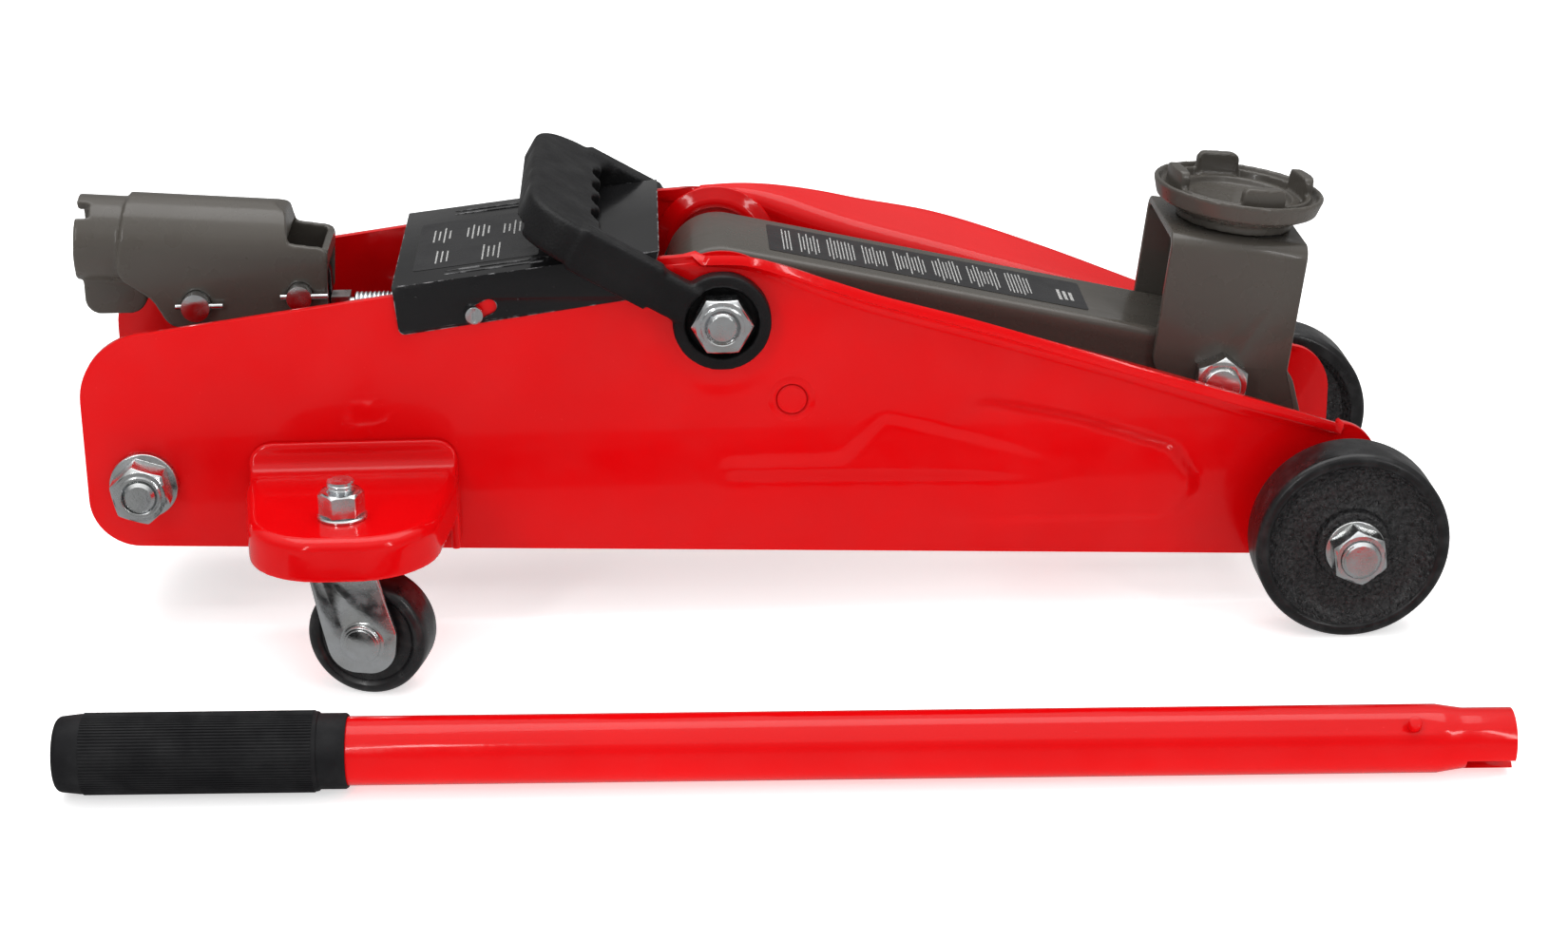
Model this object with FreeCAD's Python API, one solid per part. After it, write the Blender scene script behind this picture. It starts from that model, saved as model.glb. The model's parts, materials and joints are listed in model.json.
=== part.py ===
import FreeCAD, Part
import math
import os
from FreeCAD import Vector

# Low trolley jack with its loose operating bar laid beside it.
# Millimetres, +Z up. The jack is laid out with the main shaft above x = 0, the mid-plane at
# y = 0 and the floor at z = 0; +X is the saddle end and -Y the right-hand side.
# Everything is moved at the end so that the origin is the bottom centre of the whole box.

# ---- driving dimensions ---------------------------------------------------------------------
# side plates
plate_inner = 37.5            # half the gap between the two plates
plate_thickness = 3.0
plate_rear_x = -202.0
plate_nose = 13.6              # how far the plates reach in front of the axle
plate_rear_bottom_z = 30.6
plate_front_bottom_z = 16.4
plate_rear_top_z = 97.9
plate_hump_z = 123.4
plate_boss_r = 22.0
emboss_depth = 1.0
flange_bend_r = 5.0

# main shaft, lift arm and saddle bracket
main_z = 102.8                # height of the main shaft above the floor
main_shaft_r = 8.0
stud_r = 5.0                  # M10 ends of the main shaft and the rear bolt
stud_nut_flats = 17.0
lift_travel = 67.0            # degrees
arm_reach = 161.0             # main shaft to saddle bracket bolt, along X at rest
arm_drop = 30.1               # and how far below the main shaft it lies
arm_half_width = 21.7
arm_sheet = 3.0
arm_root_r = 16.8
arm_tip_r = 11.5
sleeve_r = 11.0
crank_radius = 45.0
crank_pin_r = 7.0
bracket_tilt = 7.25           # nose-down lean of the bracket and saddle when lowered
bracket_inner = 22.2          # inside half-width
bracket_sheet = 2.8
bracket_half_length = 22.2
bracket_height = 46.6         # bracket bolt to the top of its deck
bracket_bolt_r = 6.0

# saddle
saddle_offset = 1.6           # saddle axis in front of the bracket bolt
saddle_r = 27.8
saddle_base_r = 19.0
saddle_rise = 12.2            # deck to rim
saddle_cup_r = 21.0
saddle_cup_depth = 4.5
saddle_lug_height = 4.8
saddle_lug_width = 14.5
saddle_lug_turn = 10.0        # how far the saddle stands turned, degrees
saddle_stem_r = 9.0

# levelling links
link_rear = (21.9, 74.7)      # welded pivot studs on the plates
link_front = (28.04, -28.85)  # front pin, measured from the bracket bolt in the level bracket
link_gap = 5.0                 # between a link and the side plate
link_thickness = 4.0
link_eye_r = 8.0
link_depth = 10.0
link_stud_r = 5.0
link_pin_r = 4.0
link_slack = 0.75             # play in the front eye

# hydraulic unit
ram_z = 61.5
ram_rod_r = 9.0
piston_r = 11.2
piston_length = 6.0
reservoir_end = 6.0           # closed rear wall of the ram's bore
reservoir_r = 19.0
reservoir_rear_x = -146.0
reservoir_front_x = -82.0
gland_length = 9.0
block_rear_x = -198.0
block_bottom_z = 34.0
block_top_z = 70.0
block_half_width = 24.0
rear_bolt_x = -184.0
rear_bolt_z = 51.3
spring_bar_x = -50.0
spring_y = 29.0
spring_coil_r = 4.5
spring_wire_r = 0.8

# operating socket, its pins, roller and the pump plunger
pivot_x, pivot_z = -134.0, 105.0
roller_x, roller_z = -167.0, 102.5
socket_pin_r = 4.0
roller_pin_r = 4.5
roller_r = 8.0
socket_bore_r = 10.5
socket_wall = 3.25
socket_mouth = (-205.0, 121.5)
socket_fall = 4.2             # degrees the tube falls towards the front
socket_tube_length = 48.0
socket_full_tube = 27.0       # depth of the bore, from the mouth to the stop
socket_stop = 1.5             # step that the bar's end stops against
cheek_outer = 15.2
cheek_sheet = 3.0
plunger_x = -163.5
plunger_r = 6.0
plunger_head_r = 9.5
plunger_head = 5.0
ear_inner = 5.0               # the pump block's two ears that carry the socket
ear_gap = 0.6                 # between an ear and the socket's cheek

# wheels
axle_lead = 37.0              # axle in front of the saddle bracket bolt
wheel_r = 31.0
wheel_gap = 12.0              # side plate to the wheel's inner face
wheel_width = 17.5
axle_r = 6.0
caster_x = -117.5
caster_reach = 43.5           # side plate to the caster's swivel axis
caster_wheel_r = 18.7
caster_wheel_width = 15.5
caster_trail = 7.5
caster_turn = -13.0           # how far the right-hand caster stands turned, degrees
caster_shelf_z = 55.5
caster_sheet = 3.0
caster_nose = 63.5            # side plate to the end of the caster bracket
caster_axle_r = 4.0
caster_bolt_r = 4.0

# carrying handle and cover
bail_angle = 30.0
bail_reach = 71.0
bail_grip = 25.0
bail_clear = 1.8              # side plate to the handle's leg
bail_leg = 7.7                # width of a leg
bail_eye_width = 6.2
bail_half_depth = 6.5
bail_eye_r = 15.5
bail_gap = 0.5                # between the grip at rest and the cover
cover_sheet = 1.0
cover_rear = (-102.6, 115.0)
cover_front = (-19.1, 125.0)

# loose operating bar
bar_start = (-196.0, -155.0)
bar_yaw = -1.4
bar_length = 420.0
bar_r = 10.0
bar_wall = 1.8
bar_end_r = 8.8
bar_swage = 8.0               # length of the taper down to the swaged end
bar_catch_r = 1.9
bar_catch_turn = 43.0         # from straight up towards the right-hand side, degrees
bar_slot_turn = 132.0
bar_end_length = 22.0
grip_r = 12.0
grip_length = 76.0
grip_grooves = 36

run = 0.06                    # radial clearance of a pin that turns in its hole
side = 0.3                    # gap between faces that move past each other

# ---- derived places --------------------------------------------------------------------------
plate_outer = plate_inner + plate_thickness
axle_x = arm_reach + axle_lead
plate_front_x = axle_x + plate_nose
wheel_inner_y = plate_outer + wheel_gap
caster_y = plate_outer + caster_reach
caster_nose_y = plate_outer + caster_nose
link_inner_y = plate_inner - link_gap - link_thickness
bail_inner = plate_outer + bail_clear
bail_outer = bail_inner + bail_leg
cover_half_width = plate_outer + cover_sheet
bracket_bolt = (arm_reach, main_z - arm_drop)
crank_lean = lift_travel / 2.0
crank = (-crank_radius * math.sin(math.radians(crank_lean)),
         main_z - crank_radius * math.cos(math.radians(crank_lean)))
bracket_outer = bracket_inner + bracket_sheet
plunger_top_z = roller_z - roller_r - side
main_nut_y = plate_outer + 4.2
main_nut_height = 7.5
wheel_outer_y = wheel_inner_y + wheel_width
Y_AXIS = Vector(0, 1, 0)
Z_AXIS = Vector(0, 0, 1)
pieces = {}


# ---- helpers ----------------------------------------------------------------------------------
def across(x, z, radius, y0, y1):
    """A round bar parallel to Y."""
    return Part.makeCylinder(radius, y1 - y0, Vector(x, y0, z), Y_AXIS)


def across_both(x, z, radius, y0, y1):
    """The same round bar on both sides of the mid-plane."""
    near = across(x, z, radius, y0, y1)
    return near, mirrored(near)


def along(x0, x1, radius, y, z):
    """A round bar parallel to X."""
    return Part.makeCylinder(radius, x1 - x0, Vector(x0, y, z), Vector(1, 0, 0))


def upright(x, y, radius, z0, z1):
    """A round bar parallel to Z."""
    return Part.makeCylinder(radius, z1 - z0, Vector(x, y, z0), Z_AXIS)


def block(x0, x1, y0, y1, z0, z1):
    return Part.makeBox(x1 - x0, y1 - y0, z1 - z0, Vector(x0, y0, z0))


def mirrored(shape):
    return shape.mirror(Vector(0, 0, 0), Y_AXIS)


def group(*solids):
    return Part.makeCompound(list(solids))


def rounded_outline(corners, to_3d):
    """A closed wire through corners (a, b, radius); to_3d maps (a, b) into space."""
    edges = []
    starts, ends = [], []
    count = len(corners)
    for i, (a, b, radius) in enumerate(corners):
        here = Vector(a, b, 0)
        before = Vector(*corners[i - 1][:2], 0) - here
        after = Vector(*corners[(i + 1) % count][:2], 0) - here
        before.normalize()
        after.normalize()
        turn = before.getAngle(after)
        if radius <= 0 or turn > math.pi - 1e-3:
            starts.append(here)
            ends.append((here, None))
            continue
        back = radius / math.tan(turn / 2)
        bisector = (before + after).normalize()
        middle = here + bisector * (radius / math.sin(turn / 2) - radius)
        starts.append(here + before * back)
        ends.append((here + after * back, middle))
    for i in range(count):
        end, middle = ends[i]
        if middle is not None:
            edges.append(Part.Arc(to_3d(starts[i]), to_3d(middle), to_3d(end)).toShape())
        following = starts[(i + 1) % count]
        if (following - end).Length > 1e-6:
            edges.append(Part.LineSegment(to_3d(end), to_3d(following)).toShape())
    return Part.Wire(edges)


def profile(corners, y0, y1):
    """A rounded outline in the XZ plane, given thickness from y0 to y1."""
    wire = rounded_outline(corners, lambda p: Vector(p.x, y0, p.y))
    return Part.Face(wire).extrude(Vector(0, y1 - y0, 0))


def plan(corners, z0, z1):
    """A rounded outline in the XY plane, given height from z0 to z1."""
    wire = rounded_outline(corners, lambda p: Vector(p.x, p.y, z0))
    return Part.Face(wire).extrude(Vector(0, 0, z1 - z0))


def strap(end0, r0, end1, r1, y0, y1):
    """Two round ends in the XZ plane joined by their outer tangents."""
    base = math.atan2(end1[1] - end0[1], end1[0] - end0[0])
    alpha = math.acos((r0 - r1) / math.dist(end0, end1))

    def at(end, radius, angle):
        return Vector(end[0] + radius * math.cos(angle), y0, end[1] + radius * math.sin(angle))

    up0, low0 = at(end0, r0, base + alpha), at(end0, r0, base - alpha)
    up1, low1 = at(end1, r1, base + alpha), at(end1, r1, base - alpha)
    wire = Part.Wire([
        Part.Arc(up0, at(end0, r0, base + math.pi), low0).toShape(),
        Part.LineSegment(low0, low1).toShape(),
        Part.Arc(low1, at(end1, r1, base), up1).toShape(),
        Part.LineSegment(up1, up0).toShape(),
    ])
    return Part.Face(wire).extrude(Vector(0, y1 - y0, 0))


def hexagon(across_flats, height, hole_r, centre, direction, turn=30):
    """A nut or bolt head with its corners chamfered by a cone, standing along direction."""
    corner_r = across_flats / math.sqrt(3)
    ring = [Vector(corner_r * math.cos(math.radians(60 * k + turn)),
                   corner_r * math.sin(math.radians(60 * k + turn)), 0) for k in range(6)]
    body = Part.Face(Part.makePolygon(ring + ring[:1])).extrude(Vector(0, 0, height))
    chamfer = corner_r - across_flats / 2
    cone_r = corner_r + height * 1.2
    dome = Part.makeCone(cone_r, across_flats / 2, cone_r - across_flats / 2 - chamfer * 0.4,
                         Vector(0, 0, height - (cone_r - across_flats / 2) + chamfer * 0.4))
    body = body.common(dome) if chamfer > 0 else body
    if hole_r:
        body = body.cut(Part.makeCylinder(hole_r, height * 3, Vector(0, 0, -height)))
    body.Placement = FreeCAD.Placement(Vector(*centre), FreeCAD.Rotation(Z_AXIS, direction))
    return body


def washer(x, z, outer_r, hole_r, y0, y1):
    return across(x, z, outer_r, y0, y1).cut(across(x, z, hole_r, y0 - 1, y1 + 1))


def rod_with_chamfer(bar, size):
    """Chamfer the two end rims of a plain round bar."""
    rims = [e for e in bar.Edges if isinstance(e.Curve, Part.Circle)]
    return bar.makeChamfer(size, rims)


def coil(length, coil_r, wire_r, turns, start, direction):
    """A helical spring with its axis from start along direction."""
    helix = Part.makeHelix(length / turns, length, coil_r - wire_r)
    section = Part.Wire(Part.Circle(Vector(coil_r - wire_r, 0, 0), Vector(0, 1, 0.05), wire_r).toShape())
    spring = Part.Wire(helix.Edges).makePipeShell([section], True, True)
    spring.Placement = FreeCAD.Placement(Vector(*start), FreeCAD.Rotation(Z_AXIS, direction))
    return spring


def turned(shape, pivot, degrees, axis=Y_AXIS):
    copy = shape.copy()
    copy.rotate(Vector(*pivot), axis, degrees)
    return copy


def add(name, shape):
    pieces[name] = shape


# ---- side plates ------------------------------------------------------------------------------
def flange_section(x, crest_z, edge_y, edge_z):
    """Section of the rolled-out top flange: bend, outward leg and cut edge, at one place along X."""
    bend = min(flange_bend_r, 0.6 * (edge_y - plate_outer))
    slope = math.atan2(edge_z - crest_z, edge_y - plate_outer + 0.5)
    big = bend + plate_thickness
    line_z = edge_z + (plate_outer + bend - edge_y) * math.tan(slope)
    centre_y = plate_outer + bend
    centre_z = line_z - big / math.cos(slope)

    def round_point(radius, angle):
        return Vector(x, -(centre_y + radius * math.cos(angle)), centre_z + radius * math.sin(angle))

    top = math.pi / 2 + slope
    half = (math.pi + top) / 2
    edge_top = Vector(x, -edge_y, edge_z)
    edge_low = Vector(x, -(edge_y + plate_thickness * math.sin(slope)), edge_z - plate_thickness * math.cos(slope))
    wire = Part.Wire([
        Part.Arc(round_point(big, math.pi), round_point(big, half), round_point(big, top)).toShape(),
        Part.LineSegment(round_point(big, top), edge_top).toShape(),
        Part.LineSegment(edge_top, edge_low).toShape(),
        Part.LineSegment(edge_low, round_point(bend, top)).toShape(),
        Part.Arc(round_point(bend, top), round_point(bend, half), round_point(bend, math.pi)).toShape(),
        Part.LineSegment(round_point(bend, math.pi), round_point(big, math.pi)).toShape(),
    ])
    return wire, (x, centre_z)


def side_plate():
    """The right-hand plate: flat web, rolled-out top flange in front of the hump, pressed shapes."""
    # share of the way to the axle, height of the inner crest, then how far the flange's edge
    # stands out from the plate and its height
    stations = [(0.040, 122.2, 1.2, 122.6), (0.096, 119.5, 7.0, 121.0), (0.172, 113.5, 12.0, 117.3),
                (0.242, 108.5, 15.0, 113.4), (0.384, 100.3, 19.0, 106.5), (0.551, 90.6, 17.5, 95.5),
                (0.717, 80.7, 13.0, 83.4), (0.859, 71.5, 7.5, 73.0), (1.0, 62.0, 2.2, 62.3)]
    stations = [(share * axle_x, crest, plate_outer + out, edge) for share, crest, out, edge in stations]
    sections = [flange_section(*s) for s in stations]
    flange = Part.makeLoft([wire for wire, _ in sections], True, True)
    first_x, last_x = stations[0][0], stations[-1][0]
    outline = [(plate_rear_x, plate_rear_bottom_z, 16), (plate_rear_x, plate_rear_top_z, 22),
               (-17.2, plate_hump_z, 12), (first_x, 122.4, 0)]
    outline += [(x, z, 0) for _, (x, z) in sections]
    outline += [(last_x, 61.8, 0), (last_x + 8, 58.6, 5), (plate_front_x, 50.0, 6),
                (plate_front_x, plate_front_bottom_z, 18)]
    plate = profile(outline, -plate_outer, -plate_inner).fuse(flange)

    def press(shape_at, outward):
        """Push an area of the sheet out (or in) by the embossing depth."""
        nonlocal plate
        if outward:
            plate = plate.fuse(shape_at(-plate_outer - emboss_depth, -plate_outer + 0.5))
            plate = plate.cut(shape_at(-plate_inner - emboss_depth, -plate_inner + 1))
        else:
            plate = plate.cut(shape_at(-plate_outer - 1, -plate_outer + emboss_depth))
            plate = plate.fuse(shape_at(-plate_inner - 0.5, -plate_inner + emboss_depth))

    panel = [(66, 30, 4), (66, 43.5, 4), (112, 43.5, 6), (122, 64.5, 8), (141, 57.5, 12),
             (153.2, 46, 10), (145, 30, 8)]
    wedge = [(-6, 46.8, 5), (1, 57.5, 5), (34, 57.5, 8), (52, 71, 7), (95, 59.0, 12), (115, 50.0, 2),
             (116, 45.0, 2)]
    press(lambda y0, y1: across(0, main_z, plate_boss_r - 6, y0, y1), True)
    press(lambda y0, y1: profile(panel, y0, y1), True)
    press(lambda y0, y1: profile(wedge, y0, y1), False)
    for x, z, radius in ((0, main_z, stud_r), (rear_bolt_x, rear_bolt_z, stud_r),
                         (axle_x, wheel_r, axle_r), (*link_rear, link_stud_r), (-77.2, 105.7, 2.0)):
        plate = plate.cut(across(x, z, radius, -plate_outer - 5, -plate_inner + 5))
    return plate.removeSplitter()


add("side_plate_right", side_plate())
add("side_plate_left", mirrored(pieces["side_plate_right"]))
add("frame_tie", rod_with_chamfer(across(110, 34, 7, -plate_inner, plate_inner), 0.8))


# ---- shafts and bolts that hold the frame -------------------------------------------------------
def stepped_shaft(x, z, middle_r, end_r, shoulder_y, end_y):
    ends = rod_with_chamfer(across(x, z, end_r, -end_y, end_y), 1.0)
    return ends.fuse(across(x, z, middle_r, -shoulder_y, shoulder_y)).removeSplitter()


def nut_pair(x, z, across_flats, hole_r, inner_y, height, turn=30):
    nut = hexagon(across_flats, height, hole_r, (x, -inner_y, z), Vector(0, -1, 0), turn)
    return nut, mirrored(nut)


add("main_shaft", stepped_shaft(0, main_z, main_shaft_r, stud_r, plate_inner, main_nut_y + main_nut_height + 1.2))
plate_nuts = [*nut_pair(0, main_z, stud_nut_flats, stud_r, main_nut_y, main_nut_height, 0),
              *nut_pair(rear_bolt_x, rear_bolt_z, stud_nut_flats, stud_r, plate_outer + 2.5, 9.5)]
add("plate_nuts", group(*plate_nuts))
spacer = washer(0, main_z, sleeve_r, main_shaft_r, -plate_inner, -arm_half_width - side)
add("arm_spacers", group(spacer, mirrored(spacer)))

rear_washer = washer(rear_bolt_x, rear_bolt_z, 10.8, stud_r, -plate_outer - 2.5, -plate_outer)
add("rear_bolt", rod_with_chamfer(across(rear_bolt_x, rear_bolt_z, stud_r, -plate_outer - 13.5, plate_outer + 13.5), 1.0))
add("rear_bolt_washers", group(rear_washer, mirrored(rear_washer)))

axle_end = wheel_outer_y + 11.5
add("front_axle", rod_with_chamfer(across(axle_x, wheel_r, axle_r, -axle_end, axle_end), 1.0))
hub_spacer = washer(axle_x, wheel_r, 9.5, axle_r, -wheel_inner_y + side, -plate_outer)
add("front_axle_spacers", group(hub_spacer, mirrored(hub_spacer)))
hub_washer = washer(axle_x, wheel_r, 9.5, axle_r, -wheel_outer_y - side - 1.8, -wheel_outer_y - side)
add("front_axle_washers", group(hub_washer, mirrored(hub_washer)))
add("front_axle_nuts", group(*nut_pair(axle_x, wheel_r, 16.0, axle_r, wheel_outer_y + side + 1.8, 8.0)))

add("link_pivot_studs", group(*across_both(*link_rear, link_stud_r, -plate_outer, -link_inner_y + 1.0)))


# ---- front wheels ---------------------------------------------------------------------------------
def revolved_wheel(half_profile, x, z, y_outer):
    """A wheel turned from (radius, distance in from the outer face) points; outer face towards -Y."""
    points = [Vector(x + r, y_outer + depth, z) for r, depth in half_profile]
    face = Part.Face(Part.makePolygon(points + points[:1]))
    return face.revolve(Vector(x, 0, z), Y_AXIS, 360)


def front_wheel():
    bore, width = axle_r + run, wheel_width
    shape = [(bore, 0), (11, 0), (12.5, 3.0), (wheel_r - 9, 4.2), (wheel_r - 4.5, 1.4), (wheel_r - 1.8, 0),
             (wheel_r, 2.0), (wheel_r, width - 2.0), (wheel_r - 1.8, width), (wheel_r - 5, width),
             (wheel_r - 8, width - 4.0), (13.0, width - 4.0), (12.0, width), (bore, width)]
    return revolved_wheel(shape, axle_x, wheel_r, -wheel_outer_y)


add("front_wheel_right", front_wheel())
add("front_wheel_left", mirrored(pieces["front_wheel_right"]))


# ---- casters --------------------------------------------------------------------------------------
def caster_bracket():
    """Pressed shelf with a turned-down rim, welded to the outside of the right-hand plate."""
    inner_y = plate_outer
    length_half, nose_half = 33.0, 26.5
    shoulder_y = -plate_outer - 14.0

    def outline(shrink):
        return [(caster_x - length_half + shrink, -inner_y + (1 if shrink else 0), 0),
                (caster_x - length_half + shrink, shoulder_y, 6),
                (caster_x - nose_half + shrink, -caster_nose_y + shrink, 24),
                (caster_x + nose_half - shrink, -caster_nose_y + shrink, 24),
                (caster_x + length_half - shrink, shoulder_y, 6),
                (caster_x + length_half - shrink, -inner_y + (1 if shrink else 0), 0)]

    rim_z, tab_z = 42.0, 29.5
    shell = plan(outline(0), tab_z, caster_shelf_z)
    top_edges = [e for e in shell.Edges if abs(e.BoundBox.ZMin - caster_shelf_z) < 0.01
                 and e.BoundBox.YMax < -inner_y - 0.01 or
                 abs(e.BoundBox.ZMin - caster_shelf_z) < 0.01 and e.BoundBox.YLength > 1]
    shell = shell.makeFillet(4.0, top_edges)
    hollow = plan(outline(caster_sheet), tab_z - 5, caster_shelf_z - caster_sheet)
    shell = shell.cut(hollow)
    below_rim = block(caster_x - 60, caster_x + 60, -caster_nose_y - 5, -inner_y - 9, tab_z - 5, rim_z)
    shell = shell.cut(below_rim)
    flange = profile([(caster_x - 33, caster_shelf_z - 3, 0), (caster_x - 33, 64.5, 7),
                      (caster_x + 33, 64.5, 7), (caster_x + 33, caster_shelf_z - 3, 0)],
                     -inner_y - 2.5, -inner_y)
    shell = shell.fuse(flange)
    return shell.cut(upright(caster_x, -caster_y, caster_bolt_r, 0, 100)).removeSplitter()


def caster_parts():
    """Fork, axle, swivel bolt, thrust washer, nut and wheel of one caster, trailing towards +X."""
    y = -caster_y
    under = caster_shelf_z - caster_sheet
    fork_top = under - 3.0
    leg_in = caster_wheel_width / 2 + 1.0
    leg_out = leg_in + 2.0
    wheel_x = caster_x + caster_trail
    washer_piece = upright(caster_x, y, 11, fork_top, under).cut(upright(caster_x, y, caster_bolt_r, 0, 100))
    leg = profile([(caster_x - 10.5, fork_top, 2), (caster_x + 10.5, fork_top, 2), (wheel_x + 11, 22, 8),
                   (wheel_x + 9.5, caster_wheel_r - 10.2, 9), (wheel_x - 9.5, caster_wheel_r - 10.2, 9),
                   (wheel_x - 13, 24, 8)], y - leg_out, y + leg_out)
    gap = block(caster_x - 40, caster_x + 40, y - leg_in, y + leg_in, 0, fork_top - 2.5)
    fork = leg.cut(gap).cut(upright(caster_x, y, caster_bolt_r + run, 0, 100))
    fork = fork.cut(across(wheel_x, caster_wheel_r, caster_axle_r, y - 20, y + 20))
    axle = across(wheel_x, caster_wheel_r, caster_axle_r, y - leg_out, y + leg_out)
    for low, high in ((y - leg_out - 1.8, y - leg_out), (y + leg_out, y + leg_out + 1.8)):
        axle = axle.fuse(across(wheel_x, caster_wheel_r, 6.0, low, high))
    half = caster_wheel_width / 2
    bore = caster_axle_r + run
    rim = [(bore, 0.2), (9, 0.2), (10, 1.2), (14.5, 1.2), (16, 0), (caster_wheel_r - 0.9, 1.0),
           (caster_wheel_r, 4.0), (caster_wheel_r, 2 * half - 4.0), (caster_wheel_r - 0.9, 2 * half - 1.0),
           (16, 2 * half), (14.5, 2 * half - 1.2), (10, 2 * half - 1.2), (9, 2 * half - 0.2), (bore, 2 * half - 0.2)]
    wheel = revolved_wheel(rim, wheel_x, caster_wheel_r, y - half)
    bolt_top = caster_shelf_z + 12.0
    head_top = fork_top - 2.5 - side
    bolt = upright(caster_x, y, caster_bolt_r, head_top - 1, bolt_top)
    bolt = bolt.fuse(upright(caster_x, y, 7.5, head_top - 3.2, head_top))
    nut = hexagon(12.5, 7.5, caster_bolt_r, (caster_x, y, caster_shelf_z + 1.2), Z_AXIS)
    nut = nut.fuse(upright(caster_x, y, 7.6, caster_shelf_z, caster_shelf_z + 1.2).cut(
        upright(caster_x, y, caster_bolt_r, 0, 100)))
    return {"fork": fork.removeSplitter(), "axle": axle.removeSplitter(), "wheel": wheel,
            "bolt": bolt, "nut": nut, "washer": washer_piece}


add("caster_bracket_right", caster_bracket())
add("caster_bracket_left", mirrored(pieces["caster_bracket_right"]))
caster = caster_parts()
for name in ("fork", "axle", "wheel"):
    node = "caster_" + name
    add(node + "_left", mirrored(caster[name]))
    add(node + "_right", turned(caster[name], (caster_x, -caster_y, 0), caster_turn, Z_AXIS))
for name, node in (("bolt", "caster_bolts"), ("nut", "caster_nuts"), ("washer", "caster_thrust_washers")):
    add(node, group(caster[name], mirrored(caster[name])))


# ---- hydraulic unit ---------------------------------------------------------------------------------
def pump_block():
    rear = block(block_rear_x, -168, -plate_inner, plate_inner, 38, 66)
    body = block(block_rear_x, reservoir_rear_x, -block_half_width, block_half_width,
                 block_bottom_z, block_top_z)
    body = body.fuse(rear)
    ear_outer = cheek_outer - cheek_sheet - ear_gap
    for y0, y1 in ((ear_inner, ear_outer), (-ear_outer, -ear_inner)):
        ear = strap((pivot_x, pivot_z), 8.0, (pivot_x, 82.0), 8.0, y0, y1)
        foot = profile([(-152, 62, 0), (-152, block_top_z, 0), (-143, 76, 4), (-142, 84, 0), (-126, 84, 0),
                        (-126, 66, 0)], y0, y1)
        body = body.fuse(ear).fuse(foot)
    body = body.cut(along(reservoir_rear_x, reservoir_front_x, reservoir_r, 0, ram_z))
    body = body.cut(across(rear_bolt_x, rear_bolt_z, stud_r, -60, 60))
    body = body.cut(across(pivot_x, pivot_z, socket_pin_r + run, -60, 60))
    body = body.cut(upright(plunger_x, 0, plunger_r + run, block_bottom_z + 3, block_top_z + 5))
    return body.removeSplitter()


def reservoir():
    """Outer oil tube with the ram's bore, and two studs for the return springs."""
    tube = along(reservoir_rear_x, reservoir_front_x, reservoir_r, 0, ram_z)
    for y0, y1 in ((-spring_y - 4, -10), (10, spring_y + 4)):
        tube = tube.fuse(across(reservoir_front_x - 8, ram_z, 3, y0, y1))
    tube = tube.cut(along(reservoir_rear_x + reservoir_end, reservoir_front_x + 1, piston_r, 0, ram_z))
    return tube.removeSplitter()


add("pump_block", pump_block())
add("reservoir_tube", reservoir())
gland = hexagon(30.0, gland_length, ram_rod_r + run, (reservoir_front_x, 0, ram_z), Vector(1, 0, 0))
add("gland_nut", gland)
add("filler_plug", hexagon(10.0, 4.0, 0, (-112, 0, ram_z + reservoir_r - 0.4), Z_AXIS).cut(
    along(reservoir_rear_x, reservoir_front_x, reservoir_r, 0, ram_z)))
add("pump_gland", hexagon(20.0, 4.0, plunger_r + run, (plunger_x, 0, block_top_z), Z_AXIS))

piston_rear_x = reservoir_rear_x + reservoir_end + side
rod = along(piston_rear_x, spring_bar_x + 8, ram_rod_r, 0, ram_z)
piston = along(piston_rear_x, piston_rear_x + piston_length, piston_r - run, 0, ram_z)
spring_bar = across(spring_bar_x, ram_z, 3, -spring_y - 4, spring_y + 4)
add("ram_rod", rod.fuse(piston).cut(spring_bar).removeSplitter())
add("spring_bar", spring_bar)
yoke_play = 0.8
pin_rise = crank_radius * (1 - math.cos(math.radians(crank_lean)))
slot_z = (crank[1] - pin_rise, crank[1])
yoke = block(spring_bar_x + 8, crank[0] + 14, -17.5, 17.5, ram_z - 16, ram_z + 16)
slot = strap((crank[0], slot_z[0] - 0.5), crank_pin_r + yoke_play,
             (crank[0], slot_z[1] + 0.5), crank_pin_r + yoke_play, -20, 20)
add("ram_yoke", yoke.cut(slot))

spring_length = spring_bar_x - (reservoir_front_x - 8)
springs = []
for y in (-spring_y, spring_y):
    springs.append(coil(spring_length - 8, spring_coil_r, spring_wire_r, 14,
                        (reservoir_front_x - 4, y, ram_z), Vector(1, 0, 0)))
add("return_springs", group(*springs))

plunger = upright(plunger_x, 0, plunger_r, block_bottom_z + 4, plunger_top_z - 1)
head = upright(plunger_x, 0, plunger_head_r, plunger_top_z - plunger_head, plunger_top_z)
add("pump_plunger", plunger.fuse(head.makeChamfer(0.8, head.Edges[:1])).removeSplitter())
pump_spring_base = block_top_z + 4.0 + side
add("pump_spring", coil(plunger_top_z - plunger_head - pump_spring_base - side - 2.4, plunger_head_r - 0.3, 1.0, 5,
                        (plunger_x, 0, pump_spring_base + 1.2), Z_AXIS))


# ---- release valve ------------------------------------------------------------------------------------
release_z = 96.5
valve = block(-125.5, -119.5, -3.8, 3.8, ram_z + 14, release_z + 3.9)
valve = valve.cut(along(-200, 0, reservoir_r, 0, ram_z)).cut(along(-130, -110, 2.5 + run, 0, release_z))
add("release_valve_body", valve)
release = along(-124.5, -103.0, 2.5, 0, release_z).fuse(along(-104.5, -98.5, 5.5, 0, release_z))
add("release_screw", release.removeSplitter())
add("release_spring", coil(12.6, 4.2, 0.7, 8, (-118.4, 0, release_z), Vector(1, 0, 0)))


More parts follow.
